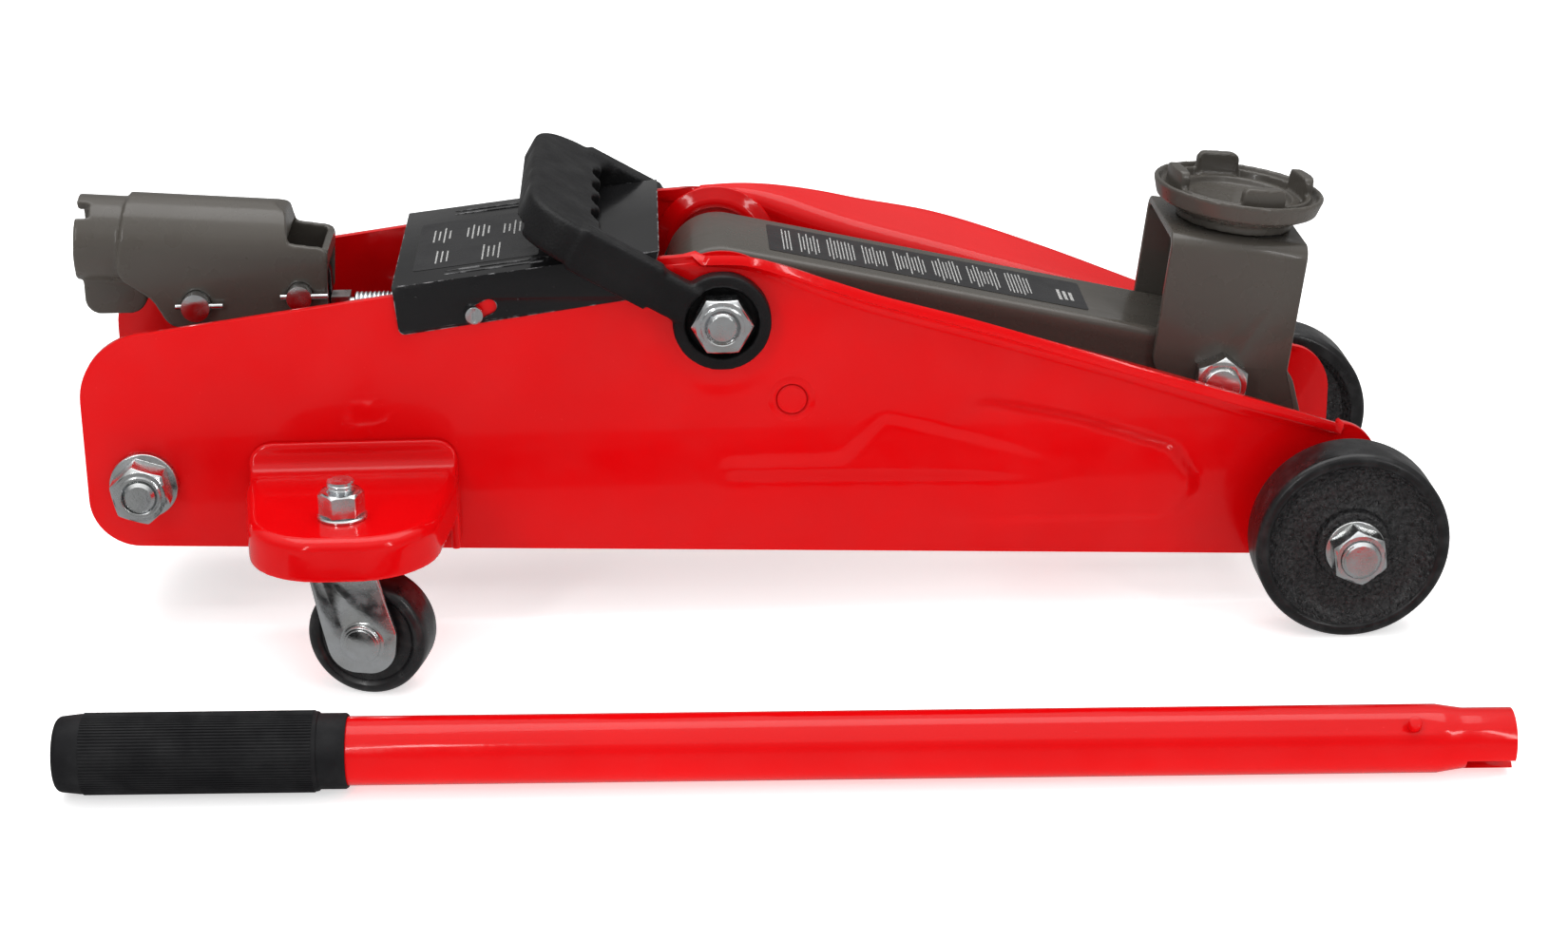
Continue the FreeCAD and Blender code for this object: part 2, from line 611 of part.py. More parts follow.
# ---- lift arm ------------------------------------------------------------------------------------------
def lift_arm():
    root = (0, main_z)
    cheek_y = arm_half_width - arm_sheet
    outer = strap(root, arm_root_r, bracket_bolt, arm_tip_r, -arm_half_width, arm_half_width)
    inner = strap(root, arm_root_r - arm_sheet, bracket_bolt, arm_tip_r - arm_sheet,
                  -arm_half_width, arm_half_width)
    web_area = profile([(-40, main_z - 6, 0), (-40, main_z + 40, 0), (arm_reach - 11, main_z + 40, 0),
                        (arm_reach - 11, bracket_bolt[1] + 2, 0), (0, main_z, 0)],
                       -arm_half_width, arm_half_width)
    arm = outer.cut(inner).common(web_area)
    for y0 in (-arm_half_width, cheek_y):
        y1 = y0 + arm_sheet
        cheek = strap(root, arm_root_r, bracket_bolt, arm_tip_r, y0, y1)
        cheek = cheek.fuse(strap(root, arm_root_r, crank, 10.0, y0, y1))
        arm = arm.fuse(cheek)
    arm = arm.cut(across(*root, sleeve_r, -50, 50)).cut(across(*crank, crank_pin_r, -50, 50))
    arm = arm.cut(across(*bracket_bolt, bracket_bolt_r + run, -50, 50)).removeSplitter()
    long_edges = [e for e in arm.Edges if e.Length > 100 and abs(abs(e.CenterOfMass.y) - arm_half_width) < 0.1
                  and e.CenterOfMass.z > main_z - 12]
    return arm.makeFillet(2.6, long_edges)


add("lift_arm", lift_arm())
sleeve = across(0, main_z, sleeve_r, -arm_half_width, arm_half_width)
add("arm_sleeve", sleeve.cut(across(0, main_z, main_shaft_r + run, -50, 50)))
add("crank_pin", across(*crank, crank_pin_r, -arm_half_width - 1.5, arm_half_width + 1.5))


# ---- saddle bracket, laid out level about its bolt and then leaned forward --------------------------------
def leaned(shape):
    """Move from the level bracket's own coordinates to its lowered, nose-down position."""
    copy = shape.copy()
    copy.rotate(Vector(0, 0, 0), Y_AXIS, bracket_tilt)
    copy.translate(Vector(bracket_bolt[0], 0, bracket_bolt[1]))
    return copy


def saddle_bracket():
    half, deck = bracket_half_length, bracket_height
    outline = [(-half, 2.0, 8), (-half, deck, 0), (half, deck, 0), (half, -12, 5), (0, -14, 12)]
    body = profile(outline, -bracket_outer, bracket_outer)
    top = [e for e in body.Edges if abs(e.CenterOfMass.z - deck) < 0.01 and e.BoundBox.YLength < 0.1]
    body = body.makeFillet(5.0, top)
    lobe = strap((14, -4), 12.0, link_front, 8.0, -bracket_outer, bracket_outer)
    body = body.fuse(lobe)
    space = block(-half - 5, half - bracket_sheet, -bracket_inner, bracket_inner, -8, deck - bracket_sheet)
    low = block(-half - 5, half + 30, -bracket_inner, bracket_inner, -60, -8)
    body = body.cut(space.makeFillet(2.4, [e for e in space.Edges if e.BoundBox.XLength > 20
                                           and e.CenterOfMass.z > 0])).cut(low)
    body = body.cut(across(0, 0, bracket_bolt_r, -60, 60))
    body = body.cut(across(*link_front, link_pin_r, -60, 60))
    return body.cut(upright(saddle_offset, 0, saddle_stem_r + run, 20, 80)).removeSplitter()


def saddle():
    base, rim = bracket_height + side, bracket_height + saddle_rise
    x = saddle_offset
    floor = rim - saddle_cup_depth
    lug_r = saddle_cup_r + 2.8
    shape = [(0, base - 12), (saddle_stem_r, base - 12), (saddle_stem_r, base), (saddle_base_r, base),
             (saddle_base_r, base + 2.6), (saddle_r - 4.4, base + 4.6), (saddle_r - 1.6, base + 6.0), (saddle_r, rim - 0.8),
             (saddle_r - 0.4, rim), (saddle_r - 1.4, rim), (saddle_r - 2.5, rim - 2.2), (lug_r, rim - 2.2),
             (lug_r - 0.2, rim - 0.6), (saddle_cup_r + 1.2, rim - 0.6), (saddle_cup_r + 0.6, floor + 1.0),
             (saddle_cup_r, floor + 0.6),
             (saddle_cup_r - 1.2, floor + 2.2), (saddle_cup_r - 3.2, floor + 2.2), (saddle_cup_r - 4.4, floor), (0, floor)]
    points = [Vector(x + r, 0, z) for r, z in shape]
    body = Part.Face(Part.makePolygon(points + points[:1])).revolve(Vector(x, 0, 0), Z_AXIS, 360)
    for k in range(4):
        lug = block(x + saddle_cup_r - 1.2, x + lug_r, -saddle_lug_width / 2, saddle_lug_width / 2,
                    floor + 0.2, rim + saddle_lug_height)
        corner = [e for e in lug.Edges if e.BoundBox.XLength > 3 and e.CenterOfMass.z > rim]
        lug = lug.makeFillet(2.5, corner)
        lug = lug.common(upright(x, 0, lug_r, 0, 100))
        body = body.fuse(turned(lug, (x, 0, 0), saddle_lug_turn + 90 * k, Z_AXIS))
    groove = upright(x, 0, saddle_stem_r + 1, base - 7, base - 5.6).cut(upright(x, 0, saddle_stem_r - 1, 0, 100))
    return body.cut(groove).removeSplitter()


add("saddle_bracket", leaned(saddle_bracket()))
bolt = across(0, 0, bracket_bolt_r, -bracket_outer - 9, bracket_outer)
bolt = bolt.fuse(across(0, 0, 7.0, bracket_outer, bracket_outer + 4))
add("bracket_bolt", leaned(bolt))
add("bracket_nut", leaned(hexagon(16.0, 7.0, bracket_bolt_r, (0, -bracket_outer, 0), Vector(0, -1, 0))))
link_outer_y = link_inner_y + link_thickness
add("link_front_pin", leaned(across(*link_front, link_pin_r, -link_outer_y - 2, link_outer_y + 2)))
add("saddle", leaned(saddle()))
clip_z = bracket_height + side - 7
clip = upright(saddle_offset, 0, saddle_stem_r + 2.5, clip_z, clip_z + 1.4)
clip = clip.cut(upright(saddle_offset, 0, saddle_stem_r - 1, 0, 100))
clip = clip.cut(block(saddle_offset, saddle_offset + 20, -3, 3, 0, 100))
add("saddle_circlip", leaned(clip))


# ---- levelling links ---------------------------------------------------------------------------------------
lean = math.radians(bracket_tilt)
link_end = (bracket_bolt[0] + link_front[0] * math.cos(lean) + link_front[1] * math.sin(lean),
            bracket_bolt[1] - link_front[0] * math.sin(lean) + link_front[1] * math.cos(lean))


def link_bar():
    y0, y1 = -link_inner_y - link_thickness, -link_inner_y
    bar = strap(link_rear, link_depth / 2, link_end, link_depth / 2, y0, y1)
    bar = bar.fuse(across(*link_rear, link_eye_r, y0, y1)).fuse(across(*link_end, link_eye_r, y0, y1))
    bar = bar.cut(across(*link_rear, link_stud_r + run, -60, 60))
    return bar.cut(across(*link_end, link_pin_r + link_slack, -60, 60)).removeSplitter()


link = link_bar()
add("level_links", group(link, mirrored(link)))


# ---- operating socket -----------------------------------------------------------------------------------------
def socket_hood(mouth, direction):
    """Everything under the round back of the folded sheet, which flares from the tube to the cheeks."""
    tube_r = socket_bore_r + socket_wall
    back = Part.makeCylinder(cheek_outer, 68, mouth + direction * 14, direction)
    flare = Part.makeCone(tube_r, cheek_outer, 10, mouth + direction * 4, direction)
    drop = math.tan(math.radians(socket_fall))
    rear_x, front_x = socket_mouth[0] + 5, socket_mouth[0] + 90
    below = profile([(rear_x, 60, 0), (rear_x, socket_mouth[1] - 5 * drop, 0),
                     (front_x, socket_mouth[1] - 90 * drop, 0), (front_x, 60, 0)], -cheek_outer, cheek_outer)
    return back.fuse(flare).fuse(below)


def operating_socket():
    tube_r = socket_bore_r + socket_wall
    fall = math.radians(socket_fall)
    direction = Vector(math.cos(fall), 0, -math.sin(fall))
    mouth = Vector(socket_mouth[0], 0, socket_mouth[1])
    cheek_in = cheek_outer - cheek_sheet
    tube = Part.makeCylinder(tube_r, socket_tube_length, mouth, direction)
    cheek_line = [(-192, 112, 6), (-181, 104, 8), (-176, 94.5, 6), (-126, 96.0, 5), (-124.5, 119.5, 3),
                  (-137, 121.5, 1.2), (-138, 130.0, 1.5), (-150, 136, 4), (-188, 138, 6)]
    body = profile(cheek_line, -cheek_outer, cheek_outer)
    body = body.common(socket_hood(mouth, direction)).fuse(tube)
    stop_x = socket_mouth[0] + socket_full_tube + 1.5
    inside = profile([(stop_x, 80, 0), (stop_x, 117.0, 5), (-158, 124.0, 3), (-120, 122.0, 0), (-120, 80, 0)],
                     -cheek_in, cheek_in)
    body = body.cut(inside)
    wall = block(-127.0, -124.6, -cheek_in, cheek_in, 113.5, 119.0)
    lug = profile([(-204, 97, 5), (-204, 111, 2), (-184, 111, 2), (-184, 97, 6)], -6, 6)
    body = body.fuse(wall).fuse(lug)
    body = body.cut(Part.makeCylinder(socket_bore_r, socket_full_tube + 5, mouth - direction * 5, direction))
    relief_r = socket_bore_r - socket_stop
    body = body.cut(Part.makeCylinder(relief_r, socket_full_tube + 25, mouth, direction))
    slot = block(-212, -200, -3, 3, socket_mouth[1], socket_mouth[1] + 30)
    slot.rotate(mouth, Vector(1, 0, 0), 35)
    body = body.cut(slot)
    for x, z, radius in ((pivot_x, pivot_z, socket_pin_r), (roller_x, roller_z, roller_pin_r)):
        body = body.cut(across(x, z, radius, -60, 60))
    return body.removeSplitter()


def clevis_pin(x, z, radius):
    """Headed pin with a hole for its cotter near the right-hand end."""
    pin = across(x, z, radius, -cheek_outer - 4.5, cheek_outer)
    pin = pin.fuse(across(x, z, radius + 2, cheek_outer, cheek_outer + 2.5))
    return pin.cut(along(x - 20, x + 20, 1.0, -cheek_outer - 2.2, z))


def cotter(x, z, radius, reach):
    """Split pin: a straight shank through the clevis pin, with a ring eye on one side."""
    y = -cheek_outer - 2.2
    shank = along(x - radius - 2, x + radius + reach, 0.9, y, z)
    eye = Part.makeTorus(2.4, 0.9, Vector(x - radius - 4.2, y, z), Y_AXIS)
    return shank.fuse(eye)


add("operating_socket", operating_socket())
add("socket_pins", group(clevis_pin(pivot_x, pivot_z, socket_pin_r), clevis_pin(roller_x, roller_z, roller_pin_r)))
add("cotter_pins", group(cotter(pivot_x, pivot_z, socket_pin_r, 5), cotter(roller_x, roller_z, roller_pin_r, 4)))
roller_half = cheek_outer - cheek_sheet - side
roller = across(roller_x, roller_z, roller_r, -roller_half, roller_half)
add("pump_roller", roller.cut(across(roller_x, roller_z, roller_pin_r + run, -60, 60)))


# ---- cover plate --------------------------------------------------------------------------------------------------
def cover_plate():
    outline = [(cover_rear[0], cover_rear[1], 0), (cover_front[0], cover_front[1], 0),
               (cover_front[0] - 4, 110.0, 2), (-100.9, 99.1, 2)]
    body = profile(outline, -cover_half_width, cover_half_width)
    drop = cover_sheet
    inside = [(cover_rear[0] - 20, cover_rear[1] - 2.4 - drop, 0), (cover_front[0] + 20, cover_front[1] + 2.4 - drop, 0),
              (cover_front[0] + 20, 80, 0), (cover_rear[0] - 20, 80, 0)]
    half = cover_half_width - cover_sheet
    body = body.cut(profile(inside, -half, half))
    slot = strap((-77.2, 105.7), 2.4, (-72.6, 108.0), 2.4, -60, 60)
    return body.cut(slot)


add("cover_plate", cover_plate())
screw = across(-77.2, 105.7, 2.0, -cover_half_width, -plate_inner + 4)
screw = screw.fuse(across(-77.2, 105.7, 2.75, -cover_half_width - 2.2, -cover_half_width))
screw = screw.cut(block(-77.6, -76.8, -60, -cover_half_width - 1.2, 103.5, 108))
add("cover_screws", group(screw, mirrored(screw)))


# ---- carrying handle: laid flat towards -X, then raised to its resting angle ------------------------------------------
def carrying_handle():
    inner_u = bail_reach - bail_grip
    ring = [(-8, -bail_outer, 0), (-bail_reach, -bail_outer, 17), (-bail_reach, bail_outer, 17),
            (-8, bail_outer, 0), (-8, bail_inner, 0), (-inner_u, bail_inner, 7), (-inner_u, -bail_inner, 7),
            (-8, -bail_inner, 0)]
    body = plan(ring, -bail_half_depth, bail_half_depth)
    rims = [e for e in body.Edges if abs(abs(e.CenterOfMass.z) - bail_half_depth) < 0.01
            and e.CenterOfMass.x < -9]
    body = body.makeFillet(2.2, rims)
    body = body.cut(block(-inner_u - 40, -inner_u + 8, -bail_inner + 0.5, bail_inner - 0.5, -20, -3.0))
    for y in (-24, -8, 8, 24):
        body = body.cut(upright(-inner_u + 5, y, 9, -20, 20))
    for s in (-1, 1):
        eye_inner = plate_outer + emboss_depth + side
        low, high = sorted((s * eye_inner, s * (eye_inner + bail_eye_width)))
        eye = across(0, 0, bail_eye_r, low, high)
        pocket = sorted((s * (main_nut_y - 1.9), s * 60.0))
        body = body.fuse(eye).cut(across(0, 0, 11.6, *pocket))
    body = body.cut(across(0, 0, stud_r + run, -60, 60)).removeSplitter()
    body.rotate(Vector(0, 0, 0), Y_AXIS, bail_angle)
    body.translate(Vector(0, 0, main_z))
    slope = (cover_front[1] - cover_rear[1]) / (cover_front[0] - cover_rear[0])
    front_x, rear_x = cover_front[0] + 1.0, cover_rear[0] - 10.0
    seat = profile([(rear_x, cover_rear[1] - 10.0 * slope + bail_gap, 0), (front_x, cover_front[1] + slope + bail_gap, 0),
                    (front_x, 90, 0), (rear_x, 90, 0)], -cover_half_width - side, cover_half_width + side)
    return body.cut(seat).removeSplitter()


add("carrying_handle", carrying_handle())


# ---- loose operating bar, laid along +X and then put on the floor --------------------------------------------------------
def on_floor(shape):
    """The bar lies on the front rim of its grip and on the far end of its tube."""
    copy = shape.copy()
    drop = math.atan2(grip_r - bar_r, bar_length - bar_end_length - grip_length)
    copy.rotate(Vector(0, 0, 0), Y_AXIS, math.degrees(drop))
    copy.translate(Vector(*bar_start, grip_r / math.cos(drop) + grip_length * math.sin(drop)))
    copy.rotate(Vector(*bar_start, 0), Z_AXIS, bar_yaw)
    return copy


def bar_tube():
    shoulder = bar_length - bar_end_length
    inner = bar_r - bar_wall
    tube = along(3, shoulder, bar_r, 0, 0)
    tube = tube.fuse(Part.makeCone(bar_r, bar_end_r, bar_swage, Vector(shoulder, 0, 0), Vector(1, 0, 0)))
    tube = tube.fuse(along(shoulder + bar_swage, bar_length, bar_end_r, 0, 0))
    tube = tube.cut(along(6, shoulder - 2, inner, 0, 0))
    tube = tube.cut(along(shoulder - 3, bar_length + 1, bar_end_r - bar_wall, 0, 0))
    slot = block(shoulder + bar_swage, bar_length + 1, -2.5, 2.5, 0, bar_r + 1)
    tube = tube.cut(turned(slot, (0, 0, 0), bar_slot_turn, Vector(1, 0, 0)))
    hole = upright(bar_length - 30, 0, bar_catch_r, 0, 20)
    return tube.cut(turned(hole, (0, 0, 0), bar_catch_turn, Vector(1, 0, 0))).removeSplitter()


def bar_grip():
    grip = along(0, grip_length, grip_r, 0, 0)
    for k in range(grip_grooves):
        angle = 2 * math.pi * (k + 0.5) / grip_grooves
        grip = grip.cut(along(8, grip_length - 1, 0.45, grip_r * math.sin(angle), grip_r * math.cos(angle)))
    collar = along(grip_length, grip_length + 8, bar_r + 1.0, 0, 0)
    return grip.fuse(collar).cut(along(3, bar_length, bar_r, 0, 0)).removeSplitter()


add("bar_tube", on_floor(bar_tube()))
add("bar_grip", on_floor(bar_grip()))
catch = upright(bar_length - 30, 0, bar_catch_r, bar_r - bar_wall - 1, bar_r + 3.0)
add("bar_catch", on_floor(turned(catch, (0, 0, 0), bar_catch_turn, Vector(1, 0, 0))))


# ---- write every piece about the common origin ------------------------------------------------------------------------------
whole = Part.makeCompound(list(pieces.values())).BoundBox
shift = Vector(-whole.Center.x, -whole.Center.y, 0)
os.makedirs("parts", exist_ok=True)
for name, shape in pieces.items():
    placed = shape.copy()
    placed.translate(shift)
    if not placed.isValid():
        print("not valid:", name)
    placed.exportStep("parts/" + name + ".step")
print("pieces", len(pieces), "shift", shift, "box", whole)
print("link front eye", link_end, "crank", crank)
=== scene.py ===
import json
import math
import bmesh
import bpy
import numpy as np
from mathutils import Matrix, Vector

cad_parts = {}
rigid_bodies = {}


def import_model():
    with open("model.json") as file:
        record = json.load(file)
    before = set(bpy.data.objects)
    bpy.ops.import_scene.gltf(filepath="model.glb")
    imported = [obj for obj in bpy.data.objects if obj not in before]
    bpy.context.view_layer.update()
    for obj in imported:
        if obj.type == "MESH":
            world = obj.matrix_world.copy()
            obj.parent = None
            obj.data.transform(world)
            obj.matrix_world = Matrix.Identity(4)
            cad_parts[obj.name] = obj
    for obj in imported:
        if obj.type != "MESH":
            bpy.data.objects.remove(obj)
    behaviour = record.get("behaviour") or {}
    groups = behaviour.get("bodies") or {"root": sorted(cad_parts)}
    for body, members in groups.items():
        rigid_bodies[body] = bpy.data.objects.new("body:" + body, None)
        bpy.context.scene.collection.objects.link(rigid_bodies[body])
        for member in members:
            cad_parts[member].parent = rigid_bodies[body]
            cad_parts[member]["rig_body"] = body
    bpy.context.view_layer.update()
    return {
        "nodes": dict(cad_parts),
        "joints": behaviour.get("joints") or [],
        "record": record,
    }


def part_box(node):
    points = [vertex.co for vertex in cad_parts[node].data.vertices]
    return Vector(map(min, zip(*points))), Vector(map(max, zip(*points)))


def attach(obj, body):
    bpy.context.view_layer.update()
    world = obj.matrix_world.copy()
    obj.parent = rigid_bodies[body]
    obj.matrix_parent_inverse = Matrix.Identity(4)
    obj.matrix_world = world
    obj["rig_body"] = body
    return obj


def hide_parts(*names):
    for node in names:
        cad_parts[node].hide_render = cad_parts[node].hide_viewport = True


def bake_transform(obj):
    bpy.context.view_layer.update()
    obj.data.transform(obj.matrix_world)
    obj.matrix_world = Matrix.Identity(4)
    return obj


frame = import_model()

# ---- places and sizes ----------------------------------------------------------------------------
# Jack coordinates: millimetres, x = y = 0 at the main shaft's middle, z = 0 on the floor.
MM = 0.001
shaft_low, shaft_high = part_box("main_shaft")
SHAFT = (shaft_low + shaft_high) / 2
ORIGIN = Vector((SHAFT.x, SHAFT.y, 0))
MAIN_Z = SHAFT.z / MM
PLATE_INNER, PLATE_OUTER = 37.5, 40.5
REAR_BOLT = (-184, 51.3)
PLUG_WELD = (21.9, 74.7)
AXLE_X, WHEEL_R = 198.0, 31.0
WHEEL_OUTER, WHEEL_WIDTH = 70.0, 17.5
CASTER_X, CASTER_Y, CASTER_R = -117.5, 84.0, 18.7
CASTER_SHELF, CASTER_FORK_HALF = 55.5, 10.75
BRACKET_BOLT = (161.0, 72.7)
LEG_INNER, LEG_OUTER, LEG_HALF = 42.3, 50.6, 7.2
LEG_SLEEVE = (-52, -24)
LEG_TILT = math.radians(30)
COVER_SLOPE = math.atan2(10.0, 83.5)
X_AXIS, Z_AXIS = Vector((1, 0, 0)), Vector((0, 0, 1))


def at(x, y, z):
    """A place in jack coordinates as a point in the frame."""
    return ORIGIN + Vector((x, y, z)) * MM


def smoothstep(low, high, value):
    """0 below low, 1 above high and a soft rise between them."""
    t = min(1.0, max(0.0, (value - low) / (high - low)))
    return t * t * (3 - 2 * t)


# ---- finishes ------------------------------------------------------------------------------------
class Finish:
    """A material built from nodes on object coordinates, where noise scales are per metre."""

    def __init__(self, name, colour, roughness, metallic=0.0, specular=0.5, coat=0.0, coat_roughness=0.1):
        self.material = bpy.data.materials.new(name)
        self.material.use_nodes = True
        self.tree = self.material.node_tree
        self.shader = self.tree.nodes["Principled BSDF"]
        self.place = self.tree.nodes.new("ShaderNodeTexCoord").outputs["Object"]
        self.material.diffuse_color = (*colour, 1)
        self.set("Base Color", (*colour, 1))
        self.set("Roughness", roughness)
        self.set("Metallic", metallic)
        self.set("Specular IOR Level", specular)
        self.set("Coat Weight", coat)
        self.set("Coat Roughness", coat_roughness)

    def set(self, socket, value):
        self.shader.inputs[socket].default_value = value

    def feed(self, socket, source):
        self.tree.links.new(source, self.shader.inputs[socket])

    def node(self, kind, inputs=(), **settings):
        made = self.tree.nodes.new(kind)
        for key, value in settings.items():
            setattr(made, key, value)
        for key, value in dict(inputs).items():
            if isinstance(value, bpy.types.NodeSocket):
                self.tree.links.new(value, made.inputs[key])
            else:
                made.inputs[key].default_value = value
        return made

    def noise(self, scale, detail=2.0, stretch=(1, 1, 1), distortion=0.0):
        place = self.node("ShaderNodeMapping", {"Vector": self.place, "Scale": stretch}).outputs[0]
        made = self.node("ShaderNodeTexNoise", {"Vector": place, "Scale": scale, "Detail": detail,
                                                "Distortion": distortion})
        return made.outputs[0]

    def cells(self, scale, feature="F1"):
        made = self.node("ShaderNodeTexVoronoi", {"Vector": self.place, "Scale": scale}, feature=feature)
        return made.outputs["Distance"]

    def span(self, source, low, high, first=0.0, last=1.0):
        """Source between low and high becomes first to last."""
        made = self.node("ShaderNodeMapRange", {0: source, 1: low, 2: high, 3: first, 4: last})
        return made.outputs[0]

    def times(self, a, b):
        return self.node("ShaderNodeMath", {0: a, 1: b}, operation="MULTIPLY").outputs[0]

    def blend(self, factor, first, second):
        made = self.node("ShaderNodeMix", {0: factor}, data_type="RGBA")
        for socket, value in ((made.inputs[6], first), (made.inputs[7], second)):
            if isinstance(value, bpy.types.NodeSocket):
                self.tree.links.new(value, socket)
            else:
                socket.default_value = (*value, 1)
        return made.outputs[2]

    def bump(self, *layers):
        """Layers of (height, strength, distance in millimetres) stacked into one normal."""
        normal = None
        for height, strength, distance in layers:
            inputs = {"Height": height, "Strength": strength, "Distance": distance * MM}
            if normal is not None:
                inputs["Normal"] = normal
            normal = self.node("ShaderNodeBump", inputs).outputs[0]
        self.feed("Normal", normal)

    def edges(self, radius, low=0.004, high=0.05):
        """1 on sharp edges, 0 on open faces."""
        soft = self.node("ShaderNodeBevel", {"Radius": radius * MM}, samples=4).outputs[0]
        true = self.node("ShaderNodeNewGeometry").outputs["Normal"]
        dot = self.node("ShaderNodeVectorMath", {0: soft, 1: true}, operation="DOT_PRODUCT").outputs["Value"]
        return self.span(dot, 1.0 - low, 1.0 - high)


def enamel(name, colour, deep, dust, roughness=0.2, specular=0.3, coat=0.2, wear=None, peel=0.10):
    """Sprayed gloss paint: orange peel, slow colour drift, dust nibs and rubbed edges."""
    f = Finish(name, colour, roughness, specular=specular, coat=coat, coat_roughness=0.04)
    drift = f.blend(f.span(f.noise(16, 3), 0.35, 0.65), colour, deep)
    nibs = f.span(f.noise(900, 1), 0.77, 0.83)
    shade = f.blend(f.times(nibs, 0.5), drift, dust)
    if wear:
        rub = f.times(f.edges(0.5), f.span(f.noise(260, 4), 0.48, 0.66))
        shade = f.blend(rub, shade, wear)
    f.feed("Base Color", shade)
    f.feed("Roughness", f.span(f.noise(70, 4), 0.3, 0.7, roughness * 0.7, roughness * 1.5))
    f.bump((f.noise(330, 1), peel, 0.5), (f.noise(28, 2), 0.10, 1.2), (nibs, 0.2, 0.15))
    return f.material


def red_enamel():
    """Bright red frame paint."""
    return enamel("red_enamel", (0.66, 0.0014, 0.0028), (0.61, 0.0012, 0.0024), (0.72, 0.02, 0.02),
                  roughness=0.15, specular=0.15, coat=0.28)


def grey_enamel():
    """Warm grey paint on the lifting parts, rubbed on its edges."""
    return enamel("grey_enamel", (0.072, 0.065, 0.056), (0.062, 0.056, 0.048), (0.13, 0.12, 0.11),
                  roughness=0.26, specular=0.3, coat=0.15, wear=(0.17, 0.16, 0.145))


def black_enamel():
    """Gloss black paint on the pump and its cover."""
    return enamel("black_enamel", (0.0055, 0.0055, 0.006), (0.009, 0.009, 0.0095), (0.06, 0.06, 0.06),
                  roughness=0.16, specular=0.25, coat=0.15, wear=(0.45, 0.45, 0.46), peel=0.05)


def cast_black():
    """Thick black paint over a sand-cast face."""
    f = Finish("cast_black", (0.010, 0.010, 0.011), 0.36, specular=0.4, coat=0.1, coat_roughness=0.2)
    grit = f.noise(760, 4, distortion=0.8)
    lumps = f.cells(620)
    f.feed("Base Color", f.blend(f.span(grit, 0.35, 0.7), (0.004, 0.004, 0.0045), (0.032, 0.032, 0.033)))
    f.feed("Roughness", f.span(f.noise(500, 3), 0.3, 0.7, 0.18, 0.42))
    f.bump((grit, 1.0, 0.95), (lumps, 0.6, 0.6), (f.noise(90, 2), 0.2, 0.6))
    return f.material


def tread_black():
    """Smooth black paint on the rolling face."""
    f = Finish("tread_black", (0.009, 0.009, 0.010), 0.3, specular=0.3, coat=0.05)
    scuff = f.span(f.noise(220, 5), 0.45, 0.75)
    f.feed("Base Color", f.blend(scuff, (0.007, 0.007, 0.0075), (0.022, 0.022, 0.023)))
    f.feed("Roughness", f.span(f.noise(140, 4), 0.3, 0.7, 0.22, 0.42))
    f.bump((f.noise(420, 3), 0.25, 0.3), (f.noise(60, 2), 0.2, 0.8))
    return f.material


def moulded_black():
    """Matt moulding with a fine leather grain."""
    f = Finish("moulded_black", (0.007, 0.007, 0.008), 0.42, specular=0.2)
    grain = f.cells(1500, "SMOOTH_F1")
    drift = f.span(f.noise(45, 4), 0.35, 0.7)
    f.feed("Base Color", f.blend(drift, (0.005, 0.005, 0.0055), (0.008, 0.008, 0.0085)))
    f.feed("Roughness", f.span(f.noise(130, 4), 0.3, 0.7, 0.36, 0.58))
    f.bump((grain, 0.5, 0.22), (f.noise(2600, 2), 0.35, 0.12), (f.noise(70, 2), 0.12, 0.6))
    return f.material


def caster_black():
    """Smooth black caster plastic."""
    f = Finish("caster_black", (0.011, 0.011, 0.012), 0.28, specular=0.5)
    scuff = f.span(f.noise(300, 5), 0.5, 0.8)
    f.feed("Base Color", f.blend(scuff, (0.008, 0.008, 0.009), (0.03, 0.03, 0.03)))
    f.feed("Roughness", f.span(f.noise(110, 4), 0.3, 0.7, 0.18, 0.4))
    f.bump((f.noise(700, 2), 0.2, 0.2), (f.noise(90, 2), 0.12, 0.6))
    return f.material


def rubber():
    """Dull black grip rubber."""
    f = Finish("grip_rubber", (0.010, 0.010, 0.011), 0.62, specular=0.12)
    scuff = f.span(f.noise(90, 5), 0.4, 0.75)
    f.feed("Base Color", f.blend(scuff, (0.008, 0.008, 0.009), (0.017, 0.017, 0.018)))
    f.feed("Roughness", f.span(f.noise(200, 4), 0.3, 0.7, 0.5, 0.72))
    f.bump((f.noise(1900, 3), 0.3, 0.15), (f.noise(240, 2), 0.15, 0.3))
    return f.material


def metal(name, colour, tint, roughness, grain=(1, 1, 1), marks=0.2):
    """Plated or bare metal: cloudy tint, handling marks and fine scratches."""
    f = Finish(name, colour, roughness, metallic=1.0)
    cloud = f.blend(f.span(f.noise(110, 4), 0.35, 0.65), colour, tint)
    stain = f.times(f.span(f.noise(420, 5), 0.6, 0.78), 0.2)
    f.feed("Base Color", f.blend(stain, cloud, tuple(c * 0.5 for c in tint)))
    f.feed("Roughness", f.span(f.noise(260, 5), 0.3, 0.72, roughness * 0.6, roughness * 1.7))
    f.bump((f.noise(1400, 3, grain), marks, 0.12), (f.noise(190, 2), 0.12, 0.35))
    return f.material


def zinc_plate():
    """Bright plating on the fasteners and forks."""
    return metal("zinc_plate", (0.74, 0.76, 0.78), (0.60, 0.61, 0.60), 0.2, marks=0.22)


def bare_steel():
    """Turned steel with marks along its length."""
    return metal("bare_steel", (0.50, 0.50, 0.50), (0.38, 0.37, 0.35), 0.3, (1, 0.05, 1), 0.35)


def spring_steel():
    """Dark spring wire."""
    return metal("spring_steel", (0.55, 0.56, 0.58), (0.40, 0.40, 0.41), 0.24, marks=0.15)


